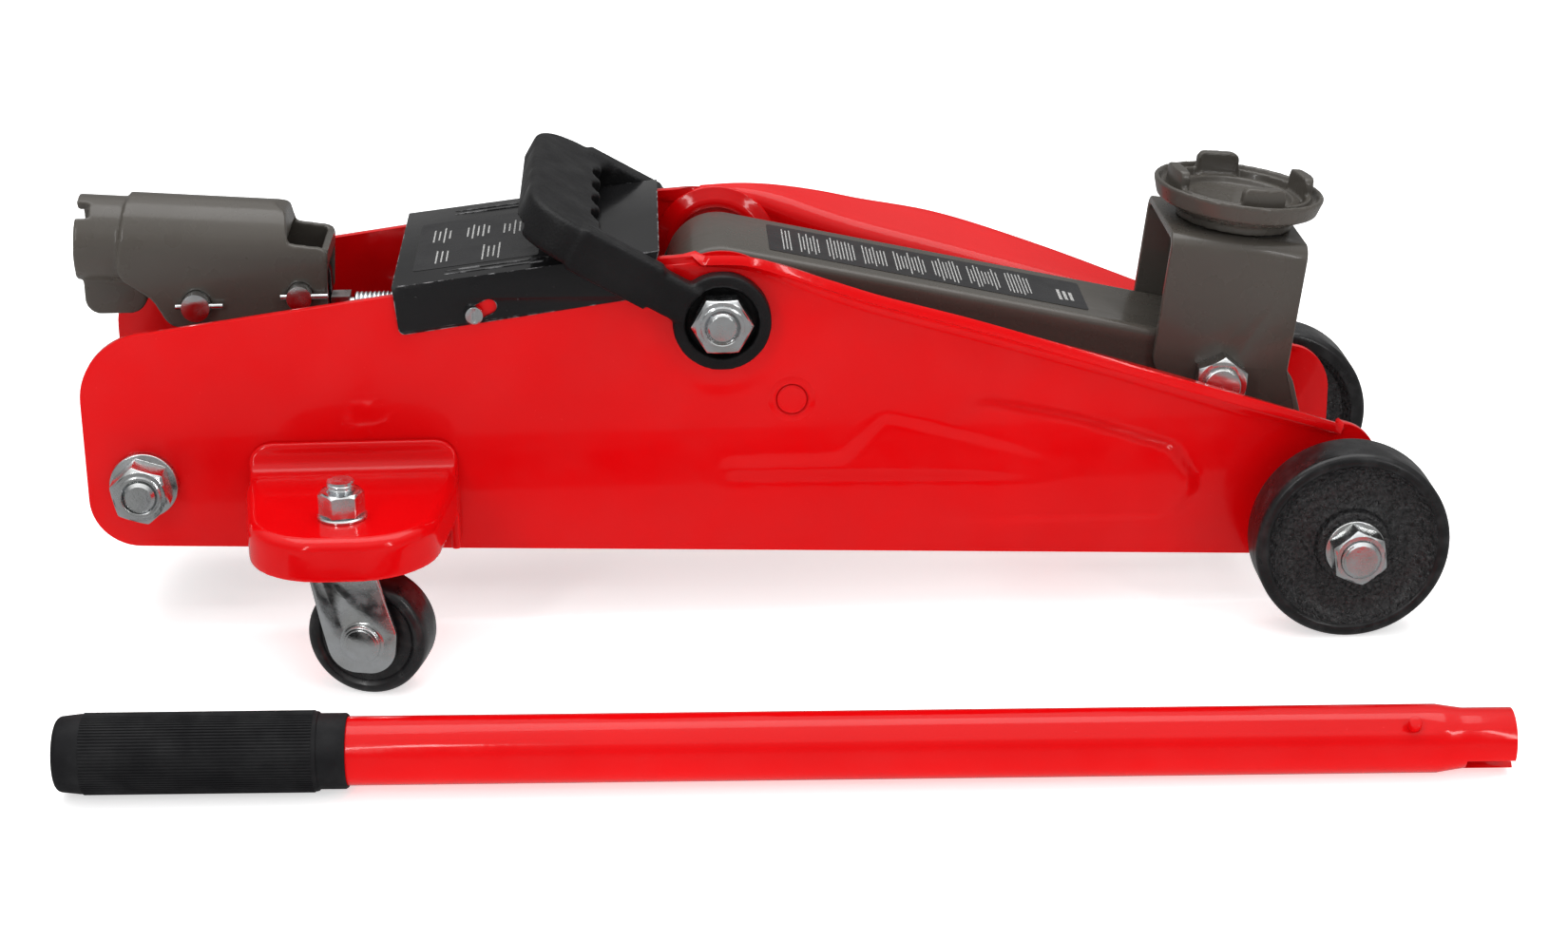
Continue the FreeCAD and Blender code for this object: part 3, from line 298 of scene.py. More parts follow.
def label_film():
    """Black label film."""
    f = Finish("label_film", (0.008, 0.008, 0.009), 0.3, specular=0.3)
    f.feed("Roughness", f.span(f.noise(160, 3), 0.3, 0.7, 0.22, 0.4))
    drift = f.span(f.noise(60, 3), 0.4, 0.7)
    f.feed("Base Color", f.blend(drift, (0.010, 0.010, 0.011), (0.016, 0.016, 0.017)))
    f.bump((f.noise(240, 2), 0.12, 0.2))
    return f.material


def label_print():
    """Worn pale print."""
    f = Finish("label_print", (0.62, 0.62, 0.60), 0.45)
    f.feed("Base Color", f.blend(f.span(f.noise(1800, 3), 0.4, 0.7), (0.46, 0.46, 0.45), (0.28, 0.28, 0.27)))
    f.feed("Roughness", f.span(f.noise(400, 3), 0.3, 0.7, 0.35, 0.55))
    return f.material


RED, GREY, BLACK = red_enamel(), grey_enamel(), black_enamel()
CAST, TREAD, MOULDED = cast_black(), tread_black(), moulded_black()
CASTER, RUBBER = caster_black(), rubber()
ZINC, STEEL, SPRING = zinc_plate(), bare_steel(), spring_steel()
FILM, PRINT = label_film(), label_print()
SLOT_FINISH = {"red_enamel": RED, "grey_enamel": GREY, "black_enamel": BLACK, "cast_black": CAST,
               "black_moulding": MOULDED, "caster_nylon": CASTER, "zinc_plate": ZINC, "bare_steel": STEEL,
               "spring_steel": SPRING, "grip_rubber": RUBBER}
NODE_SLOT = {part["node"]: part["material_slot"] for part in frame["record"]["subparts"]}


# ---- building pieces -----------------------------------------------------------------------------
def piece_from_bmesh(name, bm, materials):
    """An object with the mesh's faces, which uses the bmesh up."""
    mesh = bpy.data.meshes.new(name)
    bm.to_mesh(mesh)
    bm.free()
    made = bpy.data.objects.new(name, mesh)
    bpy.context.scene.collection.objects.link(made)
    for material in materials:
        mesh.materials.append(material)
    return made


def settle(piece, sharp_degrees=35):
    """Apply the piece's modifiers and leave it smooth between sharp edges."""
    bpy.context.view_layer.update()
    settled = bpy.data.meshes.new_from_object(piece.evaluated_get(bpy.context.evaluated_depsgraph_get()))
    old = piece.data
    piece.modifiers.clear()
    piece.data = settled
    bpy.data.meshes.remove(old)
    settled.name = piece.name
    settled.shade_smooth()
    settled.set_sharp_from_angle(angle=math.radians(sharp_degrees))
    return piece


def modify(piece, kind, **settings):
    """Add a modifier with the settings given."""
    made = piece.modifiers.new(kind.lower(), kind)
    for key, value in settings.items():
        setattr(made, key, value)
    return made


def copy_node(node, name=None):
    """A merged copy of a CAD node's mesh, free to be worked on."""
    bm = bmesh.new()
    bm.from_mesh(frame["nodes"][node].data)
    bmesh.ops.remove_doubles(bm, verts=bm.verts, dist=0.002 * MM)
    return piece_from_bmesh(name or node + "_finish", bm, [SLOT_FINISH[NODE_SLOT[node]]])


def mount(piece, body, slot, *nodes):
    """Put a finished piece on its body in place of the CAD nodes that it stands for."""
    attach(piece, body)
    if nodes:
        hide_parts(*nodes)
    return piece


def body_of(node):
    return frame["nodes"][node]["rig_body"]


def bevelled(node, width=0.4, segments=2, angle=40):
    """The CAD shape with its flat faces joined up and its edges broken."""
    piece = copy_node(node)
    bm = bmesh.new()
    bm.from_mesh(piece.data)
    bmesh.ops.dissolve_limit(bm, angle_limit=math.radians(1.0), verts=bm.verts, edges=bm.edges)
    bm.to_mesh(piece.data)
    bm.free()
    modify(piece, "BEVEL", width=width * MM, segments=segments, limit_method="ANGLE",
           angle_limit=math.radians(angle), use_clamp_overlap=True, harden_normals=False)
    settle(piece)
    return mount(piece, body_of(node), NODE_SLOT[node], node)


def softened(node, voxel, rounds, extra=None):
    """The CAD shape with every edge run soft, as a moulding, casting or deep pressing has."""
    piece = copy_node(node)
    if extra:
        bm = bmesh.new()
        bm.from_mesh(piece.data)
        extra(bm)
        bm.to_mesh(piece.data)
        bm.free()
    modify(piece, "REMESH", mode="VOXEL", voxel_size=voxel * MM, adaptivity=0.0)
    modify(piece, "SMOOTH", factor=0.5, iterations=rounds)
    settle(piece, 80)
    return mount(piece, body_of(node), NODE_SLOT[node], node)


def add_box(bm, low, high, turn=None):
    """A box between two corners in jack coordinates, with an optional turn applied to it."""
    size = (Vector(high) - Vector(low)) * MM
    middle = at(*((Vector(low) + Vector(high)) / 2))
    matrix = Matrix.Translation(middle) @ Matrix.Diagonal((*size, 1))
    bmesh.ops.create_cube(bm, size=1, matrix=(turn @ matrix) if turn else matrix)


def lathe(name, profile, centre, axis, materials, sides=96, banding=None):
    """Turn a closed (radius, height) outline about an axis; banding picks a material per row."""
    bm = bmesh.new()
    turn = axis.to_track_quat("Z", "Y").to_matrix()
    rows = []
    for k in range(sides):
        angle = 2 * math.pi * k / sides
        rows.append([bm.verts.new(centre + turn @ Vector((r * math.cos(angle), r * math.sin(angle), h)) * MM)
                     for r, h in profile])
    count = len(profile)
    for k in range(sides):
        here, there = rows[k], rows[(k + 1) % sides]
        for i in range(count):
            j = (i + 1) % count
            face = bm.faces.new((here[i], there[i], there[j], here[j]))
            if banding:
                face.material_index = banding(i)
    bmesh.ops.remove_doubles(bm, verts=bm.verts, dist=0.001 * MM)
    bmesh.ops.recalc_face_normals(bm, faces=bm.faces)
    return piece_from_bmesh(name, bm, materials)


def arc(cx, cy, radius, start, end, steps):
    """Points on an arc, degrees from start to end."""
    angles = [math.radians(start + (end - start) * k / steps) for k in range(steps + 1)]
    return [(cx + radius * math.cos(a), cy + radius * math.sin(a)) for a in angles]


# ---- geometry-node trees -------------------------------------------------------------------------
def new_tree(name, *inputs):
    """An empty tree with its inputs named, and its entry and exit nodes."""
    tree = bpy.data.node_groups.new(name, "GeometryNodeTree")
    tree.interface.new_socket("Geometry", in_out="OUTPUT", socket_type="NodeSocketGeometry")
    for title, kind in inputs:
        tree.interface.new_socket(title, in_out="INPUT", socket_type="NodeSocket" + kind)
    entry, leave = tree.nodes.new("NodeGroupInput"), tree.nodes.new("NodeGroupOutput")
    return tree, entry, leave


def wire_up(tree, *links):
    """Link each (source, target) pair of sockets."""
    for source, target in links:
        tree.links.new(source, target)


def finish_tree(tree, entry, geometry, leave):
    """Realise what was instanced, give it its finish and send it out."""
    real, paint = tree.nodes.new("GeometryNodeRealizeInstances"), tree.nodes.new("GeometryNodeSetMaterial")
    wire_up(tree, (geometry, real.inputs[0]), (real.outputs[0], paint.inputs["Geometry"]),
            (entry.outputs["Finish"], paint.inputs["Material"]), (paint.outputs[0], leave.inputs[0]))
    return tree


def coil_tree():
    """A round wire wound in a helix along Z."""
    tree, entry, leave = new_tree("coil", ("Turns", "Float"), ("Radius", "Float"), ("Height", "Float"),
                                  ("Wire radius", "Float"), ("Finish", "Material"))
    spiral = tree.nodes.new("GeometryNodeCurveSpiral")
    wire = tree.nodes.new("GeometryNodeCurvePrimitiveCircle")
    sweep = tree.nodes.new("GeometryNodeCurveToMesh")
    spiral.inputs["Resolution"].default_value = 28
    wire.inputs["Resolution"].default_value = 10
    sweep.inputs["Fill Caps"].default_value = True
    wire_up(tree, (entry.outputs["Turns"], spiral.inputs["Rotations"]),
            (entry.outputs["Radius"], spiral.inputs["Start Radius"]),
            (entry.outputs["Radius"], spiral.inputs["End Radius"]),
            (entry.outputs["Height"], spiral.inputs["Height"]),
            (entry.outputs["Wire radius"], wire.inputs["Radius"]),
            (spiral.outputs[0], sweep.inputs["Curve"]), (wire.outputs[0], sweep.inputs["Profile Curve"]))
    return finish_tree(tree, entry, sweep.outputs[0], leave)


def rib_tree():
    """Round ribs standing in a ring about Z, each as long as the grip."""
    tree, entry, leave = new_tree("grip ribs", ("Count", "Int"), ("Ring radius", "Float"),
                                  ("Rib radius", "Float"), ("Length", "Float"), ("Finish", "Material"))
    ring, rib = tree.nodes.new("GeometryNodeMeshCircle"), tree.nodes.new("GeometryNodeMeshCylinder")
    spread = tree.nodes.new("GeometryNodeInstanceOnPoints")
    rib.inputs["Vertices"].default_value = 6
    wire_up(tree, (entry.outputs["Count"], ring.inputs["Vertices"]),
            (entry.outputs["Ring radius"], ring.inputs["Radius"]),
            (entry.outputs["Rib radius"], rib.inputs["Radius"]),
            (entry.outputs["Length"], rib.inputs["Depth"]),
            (ring.outputs[0], spread.inputs["Points"]), (rib.outputs[0], spread.inputs["Instance"]))
    return finish_tree(tree, entry, spread.outputs[0], leave)


def bar_code_tree():
    """Rows of plain printed bars of uneven length, as abstract print on a label."""
    tree, entry, leave = new_tree("printed bars", ("Rows", "Int"), ("Pitch", "Float"), ("Shortest", "Float"),
                                  ("Longest", "Float"), ("Weight", "Float"), ("Seed", "Int"),
                                  ("Finish", "Material"))
    line, bar = tree.nodes.new("GeometryNodeMeshLine"), tree.nodes.new("GeometryNodeMeshCube")
    spread, length = tree.nodes.new("GeometryNodeInstanceOnPoints"), tree.nodes.new("FunctionNodeRandomValue")
    offset, size = tree.nodes.new("ShaderNodeCombineXYZ"), tree.nodes.new("ShaderNodeCombineXYZ")
    length.data_type = "FLOAT"
    bar.inputs["Size"].default_value = (1, 1, 0.06 * MM)
    size.inputs["Z"].default_value = 1
    wire_up(tree, (entry.outputs["Rows"], line.inputs["Count"]), (entry.outputs["Pitch"], offset.inputs["X"]),
            (offset.outputs[0], line.inputs["Offset"]), (entry.outputs["Shortest"], length.inputs[2]),
            (entry.outputs["Longest"], length.inputs[3]), (entry.outputs["Seed"], length.inputs["Seed"]),
            (length.outputs[1], size.inputs["Y"]), (entry.outputs["Weight"], size.inputs["X"]),
            (line.outputs[0], spread.inputs["Points"]), (bar.outputs[0], spread.inputs["Instance"]),
            (size.outputs[0], spread.inputs["Scale"]))
    return finish_tree(tree, entry, spread.outputs[0], leave)


def grow(name, tree, values, matrix, sharp=35):
    """Run a tree with named values and put the plain mesh it makes in its place."""
    piece = bpy.data.objects.new(name, bpy.data.meshes.new(name))
    bpy.context.scene.collection.objects.link(piece)
    made = piece.modifiers.new("grow", "NODES")
    made.node_group = tree
    for item in tree.interface.items_tree:
        if item.in_out == "INPUT":
            made[item.identifier] = values[item.name]
    settle(piece, sharp)
    piece.data.transform(matrix)
    return piece


COIL, RIBS, BARS = coil_tree(), rib_tree(), bar_code_tree()


def spring(name, turns, coil_r, height, wire_r, start, direction, finish):
    """A coil of round wire from a start in jack coordinates; sizes in millimetres."""
    matrix = Matrix.Translation(at(*start)) @ direction.to_track_quat("Z", "Y").to_matrix().to_4x4()
    return grow(name, COIL, {"Turns": turns, "Radius": coil_r * MM, "Height": height * MM,
                             "Wire radius": wire_r * MM, "Finish": finish}, matrix, 60)


def join(name, pieces):
    """Join finished meshes into one piece that keeps all their finishes."""
    bm = bmesh.new()
    materials = []
    for part in pieces:
        mesh = part.data
        places = []
        for material in mesh.materials:
            if material not in materials:
                materials.append(material)
            places.append(materials.index(material))
        first = len(bm.faces)
        bm.from_mesh(mesh)
        bm.faces.ensure_lookup_table()
        for face in bm.faces[first:]:
            face.material_index = places[face.material_index] if places else 0
        bpy.data.objects.remove(part)
    return piece_from_bmesh(name, bm, materials)


# ---- side plates ---------------------------------------------------------------------------------
PLATE_REAR, PLATE_NOSE = -202.0, 211.6
# corners of the outline: x and z of the centre, radius
REAR_LOW, REAR_HIGH, NOSE_LOW = (-186, 46.05, 16), (-180, 78.9, 22), (193.6, 35.0, 18)
LOW_EDGE, LOW_FALL = 30.6, 0.03446
TOP_EDGE, TOP_RISE, TOP_NOSE_Z, TOP_NOSE_RISE = 97.9, 0.138, 46, 16.0
CREST_X, CREST_TURN, CREST_DIP, CREST_SPREAD = -17.2, 0.155, 1.1, 9.0
FLANGE_START = -6.0
BEND_R = 5.0
WEB_ROWS, BEND_ROWS, LEG_ROWS = 46, 7, 6
# along X, crest height, stand-out of the flange's edge, height of that edge
FLANGE = np.array([(-6, 122.6, 0.3, 122.9), (8, 121.9, 2.4, 122.9), (19, 119.5, 7.0, 121.0),
                   (34, 113.5, 12.0, 117.3), (48, 108.5, 15.0, 113.4), (76, 100.3, 19.0, 106.5),
                   (109, 90.6, 17.5, 95.5), (142, 80.7, 13.0, 83.4), (170, 71.5, 7.5, 73.0),
                   (198, 62.0, 2.2, 62.3)])


def flange_at(x):
    """Crest, stand-out and edge height at one place, on a smooth curve through the stations."""
    stations = FLANGE[:, 0]
    i = int(np.clip(np.searchsorted(stations, x) - 1, 0, len(stations) - 2))
    a, b = FLANGE[i], FLANGE[i + 1]
    before, after = FLANGE[max(i - 1, 0)], FLANGE[min(i + 2, len(FLANGE) - 1)]
    t = (x - a[0]) / (b[0] - a[0])
    span = b[0] - a[0]
    out = (b - before) / (b[0] - before[0]) * span
    into = (after - a) / (after[0] - a[0]) * span
    point = ((2 * t**3 - 3 * t**2 + 1) * a + (t**3 - 2 * t**2 + t) * out
             + (3 * t**2 - 2 * t**3) * b + (t**3 - t**2) * into)
    return point[1], point[2], point[3]


def corner_reach(corner, x):
    """How far a round corner's edge stands above or below its centre at one place."""
    middle, _, radius = corner
    return math.sqrt(max(0.0, radius**2 - (x - middle) ** 2))


def plate_low(x):
    """Height of the plate's lower edge."""
    if x < REAR_LOW[0]:
        return REAR_LOW[1] - corner_reach(REAR_LOW, x)
    if x > NOSE_LOW[0]:
        return NOSE_LOW[1] - corner_reach(NOSE_LOW, x)
    return LOW_EDGE - LOW_FALL * (x - PLATE_REAR)


def plate_high(x):
    """Height of the plate's upper edge where it has no flange."""
    if x < REAR_HIGH[0]:
        return REAR_HIGH[1] + corner_reach(REAR_HIGH, x)
    if x > AXLE_X:
        across = (x - AXLE_X) / (PLATE_NOSE - AXLE_X)
        return TOP_NOSE_Z + TOP_NOSE_RISE * math.sqrt(max(0.0, 1 - across**2))
    rising = TOP_EDGE + TOP_RISE * (x - PLATE_REAR)
    past = x - CREST_X
    return rising - max(0.0, past) * CREST_TURN - CREST_DIP * math.exp(-((past / CREST_SPREAD) ** 2))


def to_polygon(points, x, z):
    """Signed distance from a polygon's edge, negative inside."""
    best, inside = 1e9, False
    for (ax, az), (bx, bz) in zip(points, points[1:] + points[:1]):
        ex, ez, wx, wz = bx - ax, bz - az, x - ax, z - az
        t = max(0.0, min(1.0, (wx * ex + wz * ez) / (ex * ex + ez * ez)))
        best = min(best, math.hypot(wx - ex * t, wz - ez * t))
        if (az > z) != (bz > z) and x < ax + (z - az) * ex / ez:
            inside = not inside
    return -best if inside else best


# outlines of the two pressings in the web, in x and z, and how far they stand out
PANEL = [(52, 39), (84, 65), (110, 59.5), (139, 49.5), (143.5, 43), (140, 39)]
PANEL_ROUND, PANEL_OUT = 9.0, 1.5
WEDGE = [(2, 51.8), (38, 52.2), (52, 66), (92, 55.5), (111, 49), (111, 48), (2, 50.5)]
WEDGE_ROUND, WEDGE_IN = 3.0, 0.7


def pressing(x, z):
    """How far the sheet is pressed out at one place."""
    reach = math.hypot(x, z - MAIN_Z)
    out = 0.5 * (1 - smoothstep(13.5, 17.5, reach)) + 0.4 * (1 - smoothstep(20, 28, reach))
    panel = to_polygon(PANEL, x, z) - PANEL_ROUND
    wedge = to_polygon(WEDGE, x, z) - WEDGE_ROUND
    out += PANEL_OUT * (1 - smoothstep(-2.8, 0.0, panel)) * smoothstep(64, 98, x)
    out -= WEDGE_IN * (1 - smoothstep(-3.0, 0.0, wedge)) * (1 - smoothstep(70, 112, x))
    return out


def plate_column(x):
    """Points up one section of the plate: web, bend and flange, as (stand-out, height)."""
    low = plate_low(x)
    if x < FLANGE_START or x > AXLE_X:
        top = plate_high(x)
        top_rows = BEND_ROWS + LEG_ROWS
        lip = min(2.4, (top - low) * 0.2)
        column = [(0.0, low + (top - lip - low) * k / WEB_ROWS) for k in range(WEB_ROWS + 1)]
        return column + [(0.0, top - lip + lip * k / top_rows) for k in range(1, top_rows + 1)]
    crest, stand, edge = flange_at(x)
    bend = min(BEND_R, 0.6 * stand)
    slope = math.atan2(edge - crest, stand + 0.5)
    big = bend + PLATE_OUTER - PLATE_INNER
    centre_z = edge + (bend - stand) * math.tan(slope) - big / math.cos(slope)
    column = [(0.0, low + (centre_z - low) * k / WEB_ROWS) for k in range(WEB_ROWS + 1)]
    for k in range(1, BEND_ROWS + 1):
        angle = math.pi - (math.pi / 2 - slope) * k / BEND_ROWS
        column.append((bend + bend * math.cos(angle), centre_z + bend * math.sin(angle)))
    thick = PLATE_OUTER - PLATE_INNER
    edge_low = (stand + thick * math.sin(slope), edge - thick * math.cos(slope))
    start = column[-1]
    for k in range(1, LEG_ROWS + 1):
        t = k / LEG_ROWS
        column.append((start[0] + (edge_low[0] - start[0]) * t, start[1] + (edge_low[1] - start[1]) * t))
    return column


def side_plate(side, node):
    """One pressed plate: outer skin laid out as a grid, then given its thickness."""
    rear = [PLATE_REAR + REAR_HIGH[2] * (1 - math.cos(math.pi / 2 * k / 16)) for k in range(16)]
    middle = list(np.linspace(REAR_HIGH[0], FLANGE_START, 60))
    middle += list(np.linspace(FLANGE_START + 1.2, AXLE_X, 90))
    nose = [AXLE_X + (PLATE_NOSE - AXLE_X) * math.sin(math.pi / 2 * k / 14) for k in range(1, 15)]
    bm = bmesh.new()
    grid = []
    for x in rear + middle + nose:
        column = []
        for row, (stand, z) in enumerate(plate_column(x)):
            out = pressing(x, z) if row <= WEB_ROWS else 0.0
            column.append(bm.verts.new(at(x, side * (PLATE_OUTER + stand + out), z)))
        grid.append(column)
    for a, b in zip(grid, grid[1:]):
        for i in range(len(a) - 1):
            corners = (a[i], b[i], b[i + 1], a[i + 1])
            bm.faces.new(corners if side < 0 else corners[::-1])
    bmesh.ops.remove_doubles(bm, verts=bm.verts, dist=0.01 * MM)
    plate = piece_from_bmesh(node + "_finish", bm, [RED])
    modify(plate, "SOLIDIFY", thickness=(PLATE_OUTER - PLATE_INNER) * MM, offset=-1, use_even_offset=True)
    modify(plate, "BEVEL", width=0.45 * MM, segments=2, limit_method="ANGLE", angle_limit=math.radians(60))
    settle(plate, 50)
    return mount(plate, "frame", "red_enamel", node)


side_plate(-1, "side_plate_right")
side_plate(1, "side_plate_left")


def plug_weld(side, word):
    """The painted end of the cross tie, with the fine groove around it."""
    outline = [(0, 0.42), (3.8, 0.46), (4.5, 0.42), (4.75, 0.2), (4.85, -0.1), (5.15, -0.1), (5.25, 0.2),
               (5.5, 0.4), (6.2, 0.3), (7.8, -0.05), (7.8, -0.8), (0, -0.8)]
    centre = at(PLUG_WELD[0], side * PLATE_OUTER, PLUG_WELD[1])
    disc = lathe("plug_weld_" + word, outline, centre, Vector((0, side, 0)), [RED], 72)
    return mount(settle(disc, 50), "frame", "red_enamel")


def shaft_boss(side, word):
    """Stepped rings pressed up around the main shaft on the inside of a plate."""
    outline = [(20.6, -0.6), (20.6, 0.2), (20.2, 0.7), (19.0, 0.7), (18.6, 1.3), (17.3, 1.3), (16.9, 1.9),
               (14.0, 1.9), (13.5, 1.6), (13.5, -0.6)]
    centre = at(0, side * PLATE_INNER, MAIN_Z)
    ring = lathe("shaft_boss_" + word, outline, centre, Vector((0, -side, 0)), [RED], 96)
    return mount(settle(ring, 60), "frame", "red_enamel")


for side, word in ((-1, "right"), (1, "left")):
    plug_weld(side, word)
    shaft_boss(side, word)


# ---- wheels --------------------------------------------------------------------------------------
def front_wheel(side, node):
    """Cast wheel: rounded tread, rim lip, dished rough face and a raised hub."""
    w, r = WHEEL_WIDTH, WHEEL_R
    outline = [(6.2, 0.0), (10.6, 0.0)] + arc(10.6, 1.2, 1.2, -90, 0, 4) + [(12.2, 3.0), (14.5, 4.2)]
    outline += [(18.0, 4.7), (21.5, 4.4), (24.5, 3.2), (26.2, 1.5)]
    face_rows = len(outline) - 1
    outline += arc(28.4, 1.9, 1.9, 215, 270, 4) + arc(r - 2.4, 2.4, 2.4, 270, 360, 8)
    outline += arc(r - 2.4, w - 2.4, 2.4, 0, 90, 8)
    outline += [(26.0, w), (23.5, w - 3.5), (13.0, w - 4.0), (12.0, w), (6.2, w)]
    wheel = lathe(node + "_finish", outline, at(AXLE_X, side * WHEEL_OUTER, WHEEL_R), Vector((0, -side, 0)),
                  [CAST, TREAD], 120, lambda i: 0 if i <= face_rows or i > len(outline) - 6 else 1)
    settle(wheel, 45)
    return mount(wheel, node, "cast_black", node)


def caster_line(node):
    """Middle of a caster wheel and the direction of its axle."""
    low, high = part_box(node)
    joint = next(j for j in frame["joints"] if j["child"] == node)
    return (low + high) / 2, Vector(joint["axis"])


def caster_wheel(node):
    """Moulded wheel with rounded edges and a ring groove in each face."""
    middle, axis = caster_line(node)
    half, r = 7.75, CASTER_R
    outline = [(4.2, -half + 0.2), (8.8, -half + 0.2), (9.6, -half + 1.4), (14.2, -half + 1.4),
               (15.4, -half + 0.2)]
    outline += arc(r - 2.6, -half + 2.6, 2.6, -90, -20, 6) + [(r, -half + 5), (r, half - 5)]
    outline += arc(r - 2.6, half - 2.6, 2.6, 20, 90, 6)
    outline += [(15.4, half - 0.2), (14.2, half - 1.4), (9.6, half - 1.4), (8.8, half - 0.2),
                (4.2, half - 0.2)]
    wheel = lathe(node + "_finish", outline, middle, axis, [CASTER], 96)
    settle(wheel, 40)
    return mount(wheel, node, "caster_nylon", node)


front_wheel(-1, "front_wheel_right")
front_wheel(1, "front_wheel_left")
for node in ("caster_wheel_right", "caster_wheel_left"):
    caster_wheel(node)


def axle_rivets(word):
    """Riveted heads over the ends of a caster's axle."""
    middle, axis = caster_line("caster_wheel_" + word)
    outline = [(0, 1.95), (4.6, 1.95), (5.3, 1.7), (5.6, 1.25), (5.7, 0.35), (6.6, 0.3), (6.9, 0.1),
               (6.9, -0.3), (0, -0.3)]
    heads = []
    for sign in (-1, 1):
        seat = middle + axis * sign * CASTER_FORK_HALF * MM
        heads.append(settle(lathe("head", outline, seat, axis * sign, [ZINC], 64), 40))
    return mount(join("axle_rivets_" + word, heads), body_of("caster_axle_" + word), "zinc_plate")


for word in ("right", "left"):
    axle_rivets(word)


# ---- mouldings, castings and deep pressings ------------------------------------------------------
def handle_steps(bm):
    """The sleeve that ends each leg of the handle, short of its eye."""
    for side in (-1, 1):
        raise_up = Matrix.Translation(SHAFT) @ Matrix.Rotation(LEG_TILT, 4, "Y") @ Matrix.Translation(-SHAFT)
        near, far = sorted((side * LEG_INNER, side * LEG_OUTER))
        add_box(bm, (LEG_SLEEVE[0], near, MAIN_Z - LEG_HALF), (LEG_SLEEVE[1], far, MAIN_Z + LEG_HALF),
                raise_up)


def bracket_fillet(side):
    """Fills the corner between a caster bracket's shelf and its upturned flange."""
    def fill(bm):
        corners = [(0.5, 54.5), (7.5, 54.5), (7.5, 55.5), (5.2, 56.4), (3.6, 58.0), (2.5, 61.0), (0.5, 61.0)]
        ends = [[bm.verts.new(at(CASTER_X + reach, side * (PLATE_OUTER + out), z)) for out, z in corners]
                for reach in (-32.5, 32.5)]
        for i in range(len(corners)):
            j = (i + 1) % len(corners)
            bm.faces.new((ends[0][i], ends[0][j], ends[1][j], ends[1][i]))
        made = [bm.faces.new(ends[0][::-1]), bm.faces.new(ends[1])]
        touched = {f for face in made for v in face.verts for f in v.link_faces}
        bmesh.ops.recalc_face_normals(bm, faces=list(touched))
    return fill


softened("caster_bracket_right", 0.62, 14, bracket_fillet(-1))
softened("caster_bracket_left", 0.62, 14, bracket_fillet(1))
softened("carrying_handle", 0.75, 5, handle_steps)
softened("saddle", 0.5, 3)
softened("operating_socket", 0.6, 3)

EDGE_BREAK = {"saddle_bracket": 0.5, "lift_arm": 0.5, "cover_plate": 0.25, "caster_fork_right": 0.45,
              "caster_fork_left": 0.45, "bracket_nut": 0.3, "gland_nut": 0.4, "caster_axle_right": 0.5,
              "caster_axle_left": 0.5, "socket_pins": 0.4, "cover_screws": 0.3, "main_shaft": 0.2,
              "bracket_bolt": 0.5, "pump_block": 0.8, "pump_plunger": 0.3, "level_links": 0.4,
              "rear_bolt_washers": 0.4, "front_axle_washers": 0.4, "bar_catch": 0.4}
for node, width in EDGE_BREAK.items():
    bevelled(node, width)


# ---- nuts ----------------------------------------------------------------------------------------
def nut(centre, direction, flats, height, hole_r, turn=30, collar=0.0, skirt=0.0):
    """A hex nut with coned corners, a round inner rim and, where given, a raised collar or a round skirt."""
    sides = 96
    cone = flats / 2 * 0.965
    base = 1.2 if skirt else 0.0
    bm = bmesh.new()
    rows = []
    for k in range(sides):
        angle = 2 * math.pi * k / sides
        corner = (angle - math.radians(turn) + math.pi / 6) % (math.pi / 3) - math.pi / 6
        reach = flats / 2 / math.cos(math.pi / 6 - abs(corner))
        dip = 0.62 * max(0.0, reach - 0.5 - cone)
        outline = [(hole_r, 0.1), (hole_r, height - 0.5), (hole_r + 0.5, height)]
        if collar:
            outline += [(hole_r + 0.55, height + collar - 0.2), (hole_r + 0.8, height + collar),
                        (hole_r + 1.5, height + collar), (hole_r + 1.9, height + collar - 0.25),
                        (hole_r + 2.0, height)]
        outline += [(cone, height), (reach - 0.5, height - dip), (reach, height - dip - 0.55)]
        low = [(reach, base + 0.4), (reach - 0.4, base)]
        if skirt:
            low += [(skirt - 0.4, base), (skirt, base - 0.4), (skirt, 0.15), (skirt - 0.3, 0.0)]
        outline += low + [(hole_r, 0.0)]
        rows.append([bm.verts.new(Vector((r * math.cos(angle), r * math.sin(angle), h)) * MM)
                     for r, h in outline])
    count = len(rows[0])
    for here, there in zip(rows, rows[1:] + rows[:1]):
        for i in range(count):
            j = (i + 1) % count
            bm.faces.new((here[i], there[i], there[j], here[j]))
    bmesh.ops.remove_doubles(bm, verts=bm.verts, dist=0.001 * MM)
    bmesh.ops.recalc_face_normals(bm, faces=bm.faces)
    made = piece_from_bmesh("nut", bm, [ZINC])
    made.data.transform(Matrix.Translation(centre) @ direction.to_track_quat("Z", "X").to_matrix().to_4x4())
    return settle(made, 28)


def pair_of_nuts(x, z, inner_y, **sizes):
    """The same nut facing outwards on both sides of the jack."""
    return [nut(at(x, side * inner_y, z), Vector((0, side, 0)), **sizes) for side in (-1, 1)]


